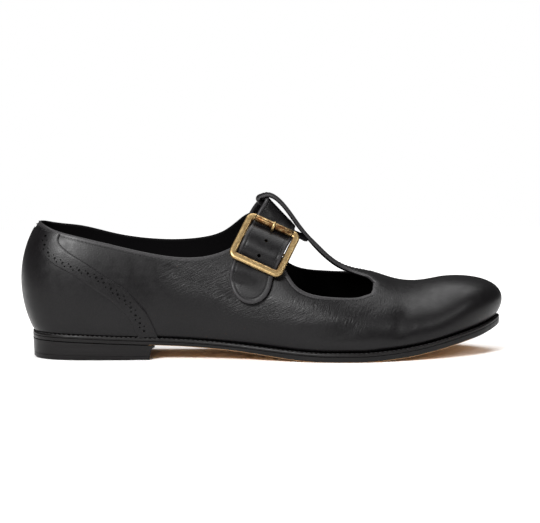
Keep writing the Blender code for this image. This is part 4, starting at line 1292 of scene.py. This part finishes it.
# Outer edge of the welt from its upper face down: way in from the edge, and way down.
WELT_EDGE = [
    # in, down
    (WELT_WIDTH, 0.0),
    (0.9 * MM, 0.0),
    (0.3 * MM, 0.12 * MM),
    (0.05 * MM, 0.45 * MM),
    (0.0, WELT - 0.2 * MM),
    (0.12 * MM, WELT),
    (WELT_WIDTH, WELT),
]
# Lower edge of the outsole: way in from the edge, and way up from its lower face.
OUTSOLE_EDGE = [
    # in, up
    (0.0, 0.6 * MM),
    (0.12 * MM, 0.22 * MM),
    (0.5 * MM, 0.0),
    (2.5 * MM, 0.0),
]
# Side of the heel from the top down: share of its height, and way in. The groove marks its top piece.
HEEL_STEPS = [
    # share, in
    (0.55, 0.0),
    (0.285, 0.0),
    (0.270, 0.14 * MM),
    (0.255, 0.0),
    (0.06, 0.05 * MM),
    (0.0, 0.45 * MM),
]


class SHOE_OT_sole(Operator):
    """Welt, leather outsole with a black edge, stacked heel and sock"""

    bl_idname = "shoe.sole"
    bl_label = "Sole and heel"

    def execute(self, context):
        sole = context.scene.shoe_sole
        edge = edge_material("waxed_edge", sole)
        tan = matt_material("tan_sole", tuple(sole.tread_colour), 0.6, 500, 0.00003, 0.3)
        lining_colour = tuple(context.scene.shoe_leather.lining_colour)
        sock = matt_material("sock_leather", lining_colour, 0.7, 900, 0.00003)
        along = stations(BACK, TIP, SOLE_STATIONS)
        margin = sole_margin(along)
        rings = [ring(along, margin - inset, lambda a, down=down: welt_top(a) - down)
                 for inset, down in WELT_EDGE]
        faces = grid_quads(len(rings) + 1, len(rings[0]), closed=True) % (len(rings) * len(rings[0]))
        strip = build("welt_strip", np.concatenate(rings), faces[:, ::-1], [edge], sharp=SOLE_SHARP)
        carry(outward(strip), "welt_leather", "welt")

        rings = [ring(along, margin, outsole_top)]
        rings += [ring(along, margin - inset, lambda a, up=up: outsole_bottom(a) + up)
                  for inset, up in OUTSOLE_EDGE]
        carry(paint_below(slab("outsole_leather", rings, along, [edge, tan]), 1), "sole_leather", "outsole")

        inset = -(WALL + 2 * GAP)
        rings = [ring(along, inset, lambda a: seat(a) + 0.5 * GAP),
                 ring(along, inset, lambda a: seat(a) + INSOLE - 0.4 * MM),
                 ring(along, inset - 0.4 * MM, lambda a: seat(a) + INSOLE)]
        carry(slab("sock", rings, along, [sock]), "insole_leather", "insole")

        breast = HEEL_BREAST / LENGTH
        angles = np.linspace(0, math.pi / 2, BREAST_ROWS)
        curve = breast + BREAST_FLARE / LENGTH * (1.1 - np.cos(angles))
        along = np.concatenate([stations(BACK, breast, SOLE_STATIONS), curve])
        top = outsole_bottom(along) - GAP
        low = np.zeros_like(along)
        low[-BREAST_ROWS:] = top[-BREAST_ROWS:] - BREAST_FILLET
        low[-BREAST_ROWS:] += (BREAST_FILLET - 3 * GAP) * np.sin(angles)
        margin = sole_margin(along)
        rings = [ring(along, margin, lambda a: outsole_bottom(a) - GAP, open_front=True)]
        for share, inset in HEEL_STEPS:
            taper = HEEL_TAPER * (1 - share) * (1 - low / top)
            level = low + (top - low) * share
            rings.append(ring(along, margin - taper - inset,
                              lambda a, level=level: np.interp(a, along, level), open_front=True))
        carry(slab("heel_block", rings, along, [edge]), "heel_stack", "heel")
        return {"FINISHED"}


def slab(name, rings, along, materials):
    """Solid between rings round the sole, whose first and last are closed by strips across the foot."""
    around, rows = len(rings[0]), len(along)
    faces = grid_quads(len(rings), around, closed=True).tolist()
    for start in (0, (len(rings) - 1) * around):
        for i in range(rows - 1):
            corners = i, i + 1, (around - i - 1) % around, (around - i) % around
            face = [start + v for v in dict.fromkeys(corners)]
            if len(face) > 2:
                faces.append(face)
    return outward(build(name, np.concatenate(rings), faces, materials, sharp=SOLE_SHARP))


def outward(piece):
    """Turns the faces of a closed piece outwards, after merging points that coincide."""
    tool = bmesh.new()
    tool.from_mesh(piece.data)
    bmesh.ops.remove_doubles(tool, verts=tool.verts, dist=2e-6)
    bmesh.ops.dissolve_degenerate(tool, edges=tool.edges, dist=1e-7)
    bmesh.ops.recalc_face_normals(tool, faces=tool.faces)
    tool.to_mesh(piece.data)
    tool.free()
    return piece


def paint_below(piece, spot):
    """Gives the faces that look down, in front of the heel, the material of a spot."""
    for face in piece.data.polygons:
        face.material_index = spot * (face.normal.z < -0.8 and face.center.x > HEEL_BREAST - ORIGIN_BACK)
    return piece


# Strap

STRAP_STATIONS = 150
TIP_STATIONS = 26
STRAP_COLUMNS = 49
STRAP_BAND = 2.5 * MM  # from the strap's edge to its stitches
STRAP_STITCH_START = 4 * MM


def open_sheet(grid, facing):
    """Points and quads of one grid, turned so that its faces look along the given normals."""
    points, quads = grid.reshape(-1, 3), grid_quads(*grid.shape[:2])
    along = (normals_of(points, quads) * facing.reshape(-1, 3)).sum()
    return points, quads if along > 0 else quads[:, ::-1]


def on_strap(where, across, height=0.0):
    """Point and normal over the strap: distance along it, distance across it and height over its middle."""
    place, _, normal, side = strap_axes(where)
    return place + side * across[..., None] + normal * np.asarray(height)[..., None], normal


def strap_stitch_line():
    """Distances along and across the strap of its stitches: one edge, round the tip, and the other."""
    end = strap_line()[0][-1]
    half = STRAP_WIDTH / 2 - STRAP_BAND
    turn = np.linspace(0, math.pi, 60)
    straight = np.linspace(STRAP_STITCH_START, end - TIP_ROUND, 300)
    around = end - TIP_ROUND + (TIP_ROUND - STRAP_BAND) * np.sin(turn)
    where = np.concatenate([straight, around, straight[::-1]])
    across = np.concatenate([np.full(300, half), half * np.cos(turn), np.full(300, -half)])
    return where, across


class SHOE_OT_strap(Operator):
    """Cross strap with a round end, a stitched edge and punched holes"""

    bl_idname = "shoe.strap"
    bl_label = "Cross strap"

    def execute(self, context):
        leather = context.scene.shoe_leather
        end = strap_line()[0][-1]
        straight = np.linspace(0, end - TIP_ROUND, STRAP_STATIONS)
        tip = end - TIP_ROUND * (1 - np.sin(np.linspace(0, 0.49 * math.pi, TIP_STATIONS)))[1:]
        where = np.concatenate([straight, tip])
        share = np.sin(np.linspace(-math.pi / 2, math.pi / 2, STRAP_COLUMNS))
        across = strap_half_width(where, end)[:, None] * share
        along = np.broadcast_to(where[:, None], across.shape)
        grid, facing = on_strap(along, across, np.full(across.shape, STRAP / 2))
        points, quads = open_sheet(grid, facing)
        distance = rim_distance(points, quads)
        relief = -STITCH_DEPTH * np.exp(-(((distance - STRAP_BAND) / STITCH_GROOVE) ** 2))
        shell, outer, inner = rolled(points, quads, STRAP, relief)
        # Painted highlight: a paler band along the strap's rolled edge.
        edging = 1 - smooth(1.0 * MM, 1.8 * MM, distance)
        zero = np.zeros(2 * len(points))
        masks = {"creasing": zero, "rippling": zero, "edging": np.concatenate([edging, edging])}
        skin = leather_material("strap_leather", leather)
        strap = build("cross_strap", shell, np.concatenate([outer, inner]), [skin], masks=masks)
        route = prong_line()
        places, ways, radii = [route[11]], [route[12] - route[10]], [PRONG_HOLE_RADIUS]
        knots, line, _ = strap_line()
        fine = np.linspace(0, knots[-1], 2000)
        first = fine[np.linalg.norm(line(fine) - from_buckle(0.0, PRONG_HOLE_UP, 0.0), axis=1).argmin()]
        for number in (1, 2):
            place, _, normal, _ = strap_axes(first + number * STRAP_HOLE_PITCH)
            places.append(place)
            ways.append(normal)
            radii.append(STRAP_HOLE_RADIUS)
        ways = np.array(ways)
        ways = unit(ways)
        punch(strap, *rods(np.array(places), ways, np.array(radii), -2 * STRAP, 2 * STRAP, 24))
        carry(strap, "strap_leather", "instep_strap")
        return {"FINISHED"}


# Buckle

ROUND = 24  # points round a rod
SQUARENESS = 3.2  # power of the frame's section: 2 is an ellipse, and a large number a rectangle


def section_round(half_wide, half_high, power):
    """Offsets of a superellipse: |x / a| to a power plus |y / b| to the same power is one."""
    angle = (np.arange(ROUND) + 0.5) * 2 * math.pi / ROUND
    x = np.sign(np.cos(angle)) * np.abs(np.cos(angle)) ** (2 / power) * half_wide
    y = np.sign(np.sin(angle)) * np.abs(np.sin(angle)) ** (2 / power) * half_high
    return np.stack([x, y], axis=1)


def frame_path():
    """Middle line of the frame in the buckle's axes, its way outwards, and 1 where the bar is full size."""
    wide, high = (FRAME_WIDTH - FRAME_BAR) / 2, (FRAME_LENGTH - FRAME_BAR) / 2
    radius = FRAME_CORNER - FRAME_BAR / 2
    turns = np.linspace(0, math.pi / 2, 14)
    path = []
    for corner in range(4):
        x = (wide - radius) * (1 if corner in (0, 3) else -1)
        y = (high - radius) * (1 if corner in (0, 1) else -1)
        for angle in turns + corner * math.pi / 2:
            c, s = math.cos(angle), math.sin(angle)
            path.append((x + radius * c, y + radius * s, c, s, 1))
        if corner == 0:
            end = ROLLER_LENGTH / 2 + 2 * GAP
            path += [(end + 0.2 * MM, high, 0, 1, 1), (end, high, 0, 1, 0.9), (end, high, 0, 1, 0)]
            path += [(-end, high, 0, 1, 0), (-end, high, 0, 1, 0.9), (-end - 0.2 * MM, high, 0, 1, 1)]
    return np.array(path)


class SHOE_OT_buckle(Operator):
    """Square brass buckle with its roller and prong, and the leather tab that holds it"""

    bl_idname = "shoe.buckle"
    bl_label = "Buckle"

    def execute(self, context):
        brass = brass_material("antique_brass", context.scene.shoe_brass)
        path = frame_path()
        full = section_round(FRAME_BAR / 2 + GAP, FRAME_THICKNESS / 2 + 0.3 * GAP, SQUARENESS)
        thin = section_round(ROLLER_BAR_RADIUS, ROLLER_BAR_RADIUS, 2.0)
        size = path[:, 4, None, None]
        section = full * size + thin * (1 - size)
        x = path[:, 0, None] + path[:, 2, None] * section[..., 0]
        y = path[:, 1, None] + path[:, 3, None] * section[..., 0]
        rings = from_buckle(x, y, section[..., 1])
        inside = np.clip(-section[..., 0] / (FRAME_BAR / 2), 0, 1) * 0.6 + 0.25
        faces = tube_faces(len(path), ROUND, closed=True)
        masks = {"patina": inside.ravel()}
        shape = build("brass_frame", rings.reshape(-1, 3), faces, [brass], masks=masks, sharp=SHARP_ANGLE)
        outward(shape)
        wide = (FRAME_WIDTH - FRAME_BAR) / 2
        bar = section_round(CENTRE_BAR_RADIUS, CENTRE_BAR_RADIUS, 2.0)
        ends = np.array([-wide, wide])[:, None]
        bar_rings = from_buckle(ends, bar[:, 0], bar[:, 1] - CENTRE_BAR_DROP)
        join_solids(shape, bar_rings.reshape(-1, 3), tube_faces(2, ROUND))
        carry(shape, "antique_brass", "buckle_frame")

        half = ROLLER_LENGTH / 2
        fat = ROLLER_RADIUS + GAP
        profile = np.array([
            (-half, ROLLER_BORE), (-half, fat - GAP), (-half + GAP, fat), (-half * 0.5, fat), (0, fat),
            (half * 0.5, fat), (half - GAP, fat), (half, fat - GAP), (half, ROLLER_BORE),
        ])
        angle = np.arange(2 * ROUND) * math.pi / ROUND
        up = ROLLER_UP + profile[:, 1, None] * np.cos(angle)
        out = profile[:, 1, None] * np.sin(angle)
        rings = from_buckle(profile[:, 0, None] + 0 * angle, up, out)
        # Painted shade: the roller turns brown all round except the side that faces up the strap, where
        # light falls; only in part patina.
        shade = np.broadcast_to(smooth(0.80, 0.40, np.cos(angle)), up.shape)
        faces = tube_faces(len(profile), 2 * ROUND, closed=True)
        masks = {"patina": shade.ravel()}
        roller = build("brass_roller", rings.reshape(-1, 3), faces, [brass], masks=masks, sharp=SHARP_ANGLE)
        carry(outward(roller), "antique_brass", "buckle_roller")

        line = prong_line(70)
        share = np.linspace(0, 1, len(line))
        radius = PRONG_RADIUS * np.interp(share, (0, 0.9, 0.97, 1), (0.9, 1, 0.8, 0.35))
        _, x_axis, _, _ = buckle_axes()
        way = np.gradient(line, axis=0)
        way = unit(way)
        out = np.cross(way, x_axis)
        rod = section_round(1.0, 1.0, 2.3)
        around = rod[:, 0, None] * x_axis + rod[:, 1, None] * out[:, None]
        rings = line[:, None] + around * radius[:, None, None]
        masks = {"patina": np.full(len(line) * ROUND, 0.15)}
        faces = tube_faces(len(line), ROUND)
        prong = build("brass_prong", rings.reshape(-1, 3), faces, [brass], masks=masks, sharp=SHARP_ANGLE)
        outward(prong)
        outer, inner = CENTRE_BAR_RADIUS + GAP + CHAPE, CENTRE_BAR_RADIUS + GAP
        angle = np.arange(ROUND) * 2 * math.pi / ROUND
        eye = [(-1, inner), (-1, outer), (1, outer), (1, inner)]
        rings = [
            from_buckle(end * PRONG_RADIUS * 1.4, r * np.cos(angle), r * np.sin(angle) - CENTRE_BAR_DROP)
            for end, r in eye
        ]
        join_solids(prong, np.concatenate(rings), tube_faces(4, ROUND, closed=True))
        carry(prong, "antique_brass", "buckle_prong")

        leather = context.scene.shoe_leather
        arc = np.radians(np.linspace(90, -90, 15))
        floor = -CENTRE_BAR_DROP - outer
        flat = [-CHAPE_LENGTH, -CHAPE_LENGTH / 2]
        over = [floor + 2 * CHAPE, floor + 2.6 * CHAPE]
        up = np.concatenate([flat, outer * np.cos(arc), flat[::-1]])
        out = np.concatenate([over, outer * np.sin(arc) - CENTRE_BAR_DROP, [floor, floor]])
        slot, half = CHAPE_SLOT / 2, CHAPE_WIDTH / 2
        grids = []
        for side in (-1, 1):
            wide = side * np.linspace(slot, half, 12)[:: side]
            grids.append(from_buckle(wide, up[:, None], out[:, None]))
        points, quads, _ = weld(grids, [0.0, 0.0])
        shell, first, second = rolled(points, quads, CHAPE)
        skin = leather_material("tab_leather", leather, creased=False)
        tab = build("leather_tab", shell, np.concatenate([first, second]), [skin])
        carry(outward(tab), "tab_leather", "buckle_tab")
        return {"FINISHED"}


def join_solids(piece, points, faces):
    """Adds a closed shape to a piece with a Boolean union, and gives the new points a half-brown finish."""
    masks = {"patina": np.full(len(points), 0.5)}
    extra = outward(build("extra", points, faces, list(piece.data.materials), masks=masks))
    combine(piece, extra, "UNION")


# Stitching

STITCH_ROUND = 6
STITCH_STEPS = 5
# Knots at the top of the back seam: shares of LENGTH and UPPER_HEIGHT, and height over the last in mm.
SEAM_KNOTS = [
    # along, height, lift
    (0.0262, 0.935, -0.1),
    (0.0264, 0.965, -0.1),
    (0.0268, 0.992, -0.3),
]


def stitches(name, lines, pitch, radius, material):
    """Thread laid along lines of points: each stitch is a small spindle that arches out of the leather."""
    places, ways, normals = [], [], []
    for path, normal in lines:
        share = evenly(path, pitch)
        at = share * (len(path) - 1)
        for found, values in ((places, path), (ways, np.gradient(path, axis=0)), (normals, normal)):
            columns = [np.interp(at, np.arange(len(path)), values[:, i]) for i in range(3)]
            found.append(np.stack(columns, axis=1))
    place, way, normal = (np.concatenate(parts) for parts in (places, ways, normals))
    way = unit(way)
    normal -= way * (normal * way).sum(1)[:, None]
    normal = unit(normal)
    side = np.cross(way, normal)
    u = np.linspace(-1, 1, STITCH_STEPS)[:, None]
    angle = np.arange(STITCH_ROUND) * 2 * math.pi / STITCH_ROUND
    thick = radius * np.sqrt(1 - 0.85 * u * u)
    x = 0.42 * pitch * u + 0 * angle
    y = thick * np.cos(angle)
    z = thick * np.sin(angle) + radius * (0.5 - 1.2 * u * u)
    template = np.stack([x, y, z], axis=-1).reshape(-1, 3)
    axes = np.stack([way, side, normal], axis=1)
    points = place[:, None] + np.einsum("ki,mij->mkj", template, axes)
    size = STITCH_ROUND * STITCH_STEPS
    one = tube_faces(STITCH_STEPS, STITCH_ROUND)
    faces = [[v + start for v in face] for start in range(0, size * len(place), size) for face in one]
    return outward(build(name, points.reshape(-1, 3), faces, [material]))


class SHOE_OT_stitching(Operator):
    """Rows of thread along the collar and the openings, the counter's trim, the strap and the welt"""

    bl_idname = "shoe.stitching"
    bl_label = "Stitching"

    def execute(self, context):
        thread = context.scene.shoe_thread
        dark = matt_material("black_thread", tuple(thread.thread_colour), 0.55, 4000, 0.00002, 0.4)
        grey = matt_material("welt_thread", tuple(thread.welt_colour), 0.55, 4000, 0.00002, 0.4)
        points, quads, _ = upper_surface()
        normals = normals_of(points, quads)
        place, _, _, out = edge_line(points, quads)
        row, facing = onto(place - out * BAND, points, normals)
        collar = stitches("collar_stitching", [(row, facing)], thread.pitch, thread.radius, dark)
        carry(collar, "upper_leather")

        lines = []
        for side in (-1, 1):
            for across in (-1, 1):
                place, facing = trim_place(side, np.linspace(0.01, 0.99, 400), np.full(400, float(across)))
                lines.append((place + facing * TRIM_LIFT, facing))
        carry(stitches("trim_stitching", lines, thread.pitch, thread.radius, dark), "counter_leather")

        where, across = strap_stitch_line()
        place, facing = on_strap(where, across, np.full(len(where), STRAP / 2 - STITCH_DEPTH))
        strap = stitches("strap_stitching", [(place, facing)], thread.pitch, thread.radius, dark)
        carry(strap, "strap_leather")

        along = np.linspace(BACK + 0.002, TIP - 0.0005, 900)
        inset = sole_margin(along) * 0.5
        path = ring(along, inset, welt_top)
        upright = np.broadcast_to((0.0, 0.0, 1.0), path.shape)
        carry(stitches("welt_stitching", [(path, upright)], thread.welt_pitch, thread.welt_radius, grey),
              "welt_leather")

        along = column(SEAM_KNOTS, 0)
        v = rise_to_v(-1, along, column(SEAM_KNOTS, 1))
        facing = last_normal(-1, along, v)
        place = last(-1, along, v) + facing * column(SEAM_KNOTS, 2)[:, None] * MM
        across = np.linspace(-0.5, 0.5, 9)[:, None] * MM * (0.3, 1, 0)
        lines = [(p + across, np.tile(n, (9, 1))) for p, n in zip(place, facing)]
        carry(stitches("seam_knots", lines, 1.6 * MM, 0.3 * MM, dark), "upper_leather")
        return {"FINISHED"}


# Stage

FLOOR_SIZE = 1.4
LIGHT_AIM = (0.09, 0, 0.04)
LIGHTS = [
    # name, place, width, height
    ("key", (-0.42, -0.95, 0.72), 0.42, 0.26),
    ("top", (0.2, 0.25, 1.3), 1.2, 1.0),
    ("front", (0.75, -0.8, 0.75), 0.35, 0.35),
]
CAMERA_AIM = (0.0987, -0.0095, 0.0518)
CAMERA_DISTANCE = 1.7
CAMERA_PITCH = 6.2  # degrees below the level
CAMERA_YAW = 4.0  # degrees from +Y towards the toe


def area_light(name, place, aim, width, height, power):
    """Soft rectangular light at a place, turned so that it looks at an aim."""
    data = bpy.data.lights.new(name, "AREA")
    data.shape = "RECTANGLE"
    data.size, data.size_y = width, height
    data.energy = power
    light = bpy.data.objects.new(name, data)
    light.location = place
    light.rotation_euler = (Vector(aim) - Vector(place)).to_track_quat("-Z", "Y").to_euler()
    bpy.context.scene.collection.objects.link(light)
    return light


class SHOE_OT_stage(Operator):
    """Pale floor, soft studio lights and the camera"""

    bl_idname = "shoe.stage"
    bl_label = "Stage"

    def execute(self, context):
        studio = context.scene.shoe_studio
        half = FLOOR_SIZE / 2
        mesh = bpy.data.meshes.new("floor")
        ends = [(-half, -half, 0), (half, -half, 0), (half, half, 0), (-half, half, 0)]
        mesh.from_pydata(ends, [], [(0, 1, 2, 3)])
        floor = bpy.data.objects.new("floor", mesh)
        context.scene.collection.objects.link(floor)
        material, shader, _, _ = new_material("pale_floor")
        shader.inputs["Base Color"].default_value = (*studio.floor_colour, 1)
        shader.inputs["Roughness"].default_value = 1.0
        shader.inputs["Specular IOR Level"].default_value = 0.0
        mesh.materials.append(material)

        for name, place, width, height in LIGHTS:
            area_light(name, place, LIGHT_AIM, width, height, getattr(studio, name + "_power"))

        world = bpy.data.worlds.new("studio")
        context.scene.world = world
        world.use_nodes = True
        tree = world.node_tree
        tree.nodes.clear()
        seen = tree.nodes.new("ShaderNodeBackground")
        seen.inputs["Color"].default_value = (1, 1, 1, 1)
        around = tree.nodes.new("ShaderNodeBackground")
        around.inputs["Color"].default_value = (1, 1, 1, 1)
        around.inputs["Strength"].default_value = studio.ambient
        path = tree.nodes.new("ShaderNodeLightPath")
        mix = tree.nodes.new("ShaderNodeMixShader")
        tree.links.new(path.outputs["Is Camera Ray"], mix.inputs[0])
        tree.links.new(around.outputs[0], mix.inputs[1])
        tree.links.new(seen.outputs[0], mix.inputs[2])
        tree.links.new(mix.outputs[0], tree.nodes.new("ShaderNodeOutputWorld").inputs[0])

        data = bpy.data.cameras.new("camera")
        data.lens = studio.lens
        camera = bpy.data.objects.new("camera", data)
        pitch, yaw = math.radians(CAMERA_PITCH), math.radians(CAMERA_YAW)
        level = math.cos(pitch)
        forward = Vector((math.sin(yaw) * level, math.cos(yaw) * level, -math.sin(pitch)))
        camera.location = Vector(CAMERA_AIM) - forward * CAMERA_DISTANCE
        camera.rotation_euler = forward.to_track_quat("-Z", "Y").to_euler()
        context.scene.collection.objects.link(camera)
        context.scene.camera = camera
        context.scene.view_settings.view_transform = "Standard"
        return {"FINISHED"}


# Settings


def colour(name, description, value):
    return FloatVectorProperty(
        name=name, description=description, subtype="COLOR", size=3, min=0, max=1, default=value
    )


def length(name, description, millimetres):
    return FloatProperty(name=name, description=description, unit="LENGTH", min=0, default=millimetres * MM)


def factor(name, description, value, most=1.0):
    return FloatProperty(
        name=name, description=description, subtype="FACTOR", min=0, max=most, default=value
    )


def watts(name, description, value):
    return FloatProperty(name=name, description=description, unit="POWER", default=value)


class ShoeLeather(PropertyGroup):
    leather_colour: colour("Leather", "Colour of the dyed upper leather", (0.0030, 0.0027, 0.0030))
    # The paler edge colour is a painted highlight of the rolled edges.
    edge_highlight_colour: colour("Edge highlight", "Colour of the leather's turned edges", (0.021, 0.020, 0.021))
    lining_colour: colour("Lining", "Colour of lining and sock", (0.0015, 0.0013, 0.0015))
    roughness: factor("Roughness", "Roughness of the leather's finish", 0.38)
    gloss: factor("Gloss", "Strength of the leather's reflections", 0.18)
    grain_height: length("Grain", "Height of the fine grain", 0.035)
    crease_height: length("Hairline creases", "Height of the hairline creases", 0.62)
    crease_depth: factor("Soft creases", "Depth of the soft creases against their usual depth", 1.0, 3.0)


class ShoeSole(PropertyGroup):
    edge_dye: colour("Edge", "Dye of the sole's edge and the heel", (0.0030, 0.0026, 0.0027))
    tread_colour: colour("Tread", "Colour of the leather outsole from below", (0.42, 0.24, 0.11))


class ShoeBrass(PropertyGroup):
    brass_colour: colour("Brass", "Colour of the polished crowns", (0.47, 0.345, 0.17))
    brass_shade: colour("Brass shade", "Colour of the brushed lows", (0.29, 0.19, 0.08))
    # The brown is patina on the frame and prong, and painted shade on the roller.
    patina_and_shade_colour: colour("Patina", "Colour of the brown patina", (0.07, 0.032, 0.012))


class ShoeThread(PropertyGroup):
    thread_colour: colour("Thread", "Colour of the upper's thread", (0.006, 0.006, 0.006))
    welt_colour: colour("Welt thread", "Colour of the welt's thread", (0.016, 0.015, 0.015))
    pitch: length("Stitch", "Length of one stitch with its gap", 2.0)
    radius: length("Thread radius", "Radius of the upper's thread", 0.15)
    welt_pitch: length("Welt stitch", "Length of one welt stitch with its gap", 2.6)
    welt_radius: length("Welt thread radius", "Radius of the welt's thread", 0.22)


class ShoeStudio(PropertyGroup):
    floor_colour: colour("Floor", "Colour of the floor", (0.95, 0.945, 0.94))
    key_power: watts("Key light", "Power of the key light", 24)
    top_power: watts("Top light", "Power of the light overhead", 20)
    front_power: watts("Front light", "Power of the light at the toe", 3)
    ambient: factor("Surroundings", "Brightness of the white room round the shoe", 0.08, 5.0)
    lens: FloatProperty(name="Lens", description="Focal length in millimetres", unit="CAMERA", default=206.4)


STEPS = ("upper", "counter", "sole", "strap", "buckle", "stitching", "stage")


class SHOE_PT_panel(Panel):
    bl_label = "Instep bar shoe"
    bl_idname = "SHOE_PT_panel"
    bl_space_type = "VIEW_3D"
    bl_region_type = "UI"
    bl_category = "Shoe"

    def draw(self, context):
        for name in GROUPS:
            settings = getattr(context.scene, "shoe_" + name)
            box = self.layout.box()
            for key in settings.__annotations__:
                box.prop(settings, key)
        for step in STEPS:
            self.layout.operator("shoe." + step)


GROUPS = {
    "leather": ShoeLeather,
    "sole": ShoeSole,
    "brass": ShoeBrass,
    "thread": ShoeThread,
    "studio": ShoeStudio,
}
OPERATORS = (
    SHOE_OT_upper,
    SHOE_OT_counter,
    SHOE_OT_sole,
    SHOE_OT_strap,
    SHOE_OT_buckle,
    SHOE_OT_stitching,
    SHOE_OT_stage,
)


def register():
    for made in (*GROUPS.values(), *OPERATORS, SHOE_PT_panel):
        bpy.utils.register_class(made)
    for name, group in GROUPS.items():
        setattr(bpy.types.Scene, "shoe_" + name, PointerProperty(type=group))


def unregister():
    for name in GROUPS:
        delattr(bpy.types.Scene, "shoe_" + name)
    for made in reversed((*GROUPS.values(), *OPERATORS, SHOE_PT_panel)):
        bpy.utils.unregister_class(made)


def corners(bounds):
    return [[float(value) for value in corner] for corner in bounds]


def main():
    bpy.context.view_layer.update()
    register()
    for step in STEPS:
        getattr(bpy.ops.shoe, step)()


if __name__ == "__main__":
    main()
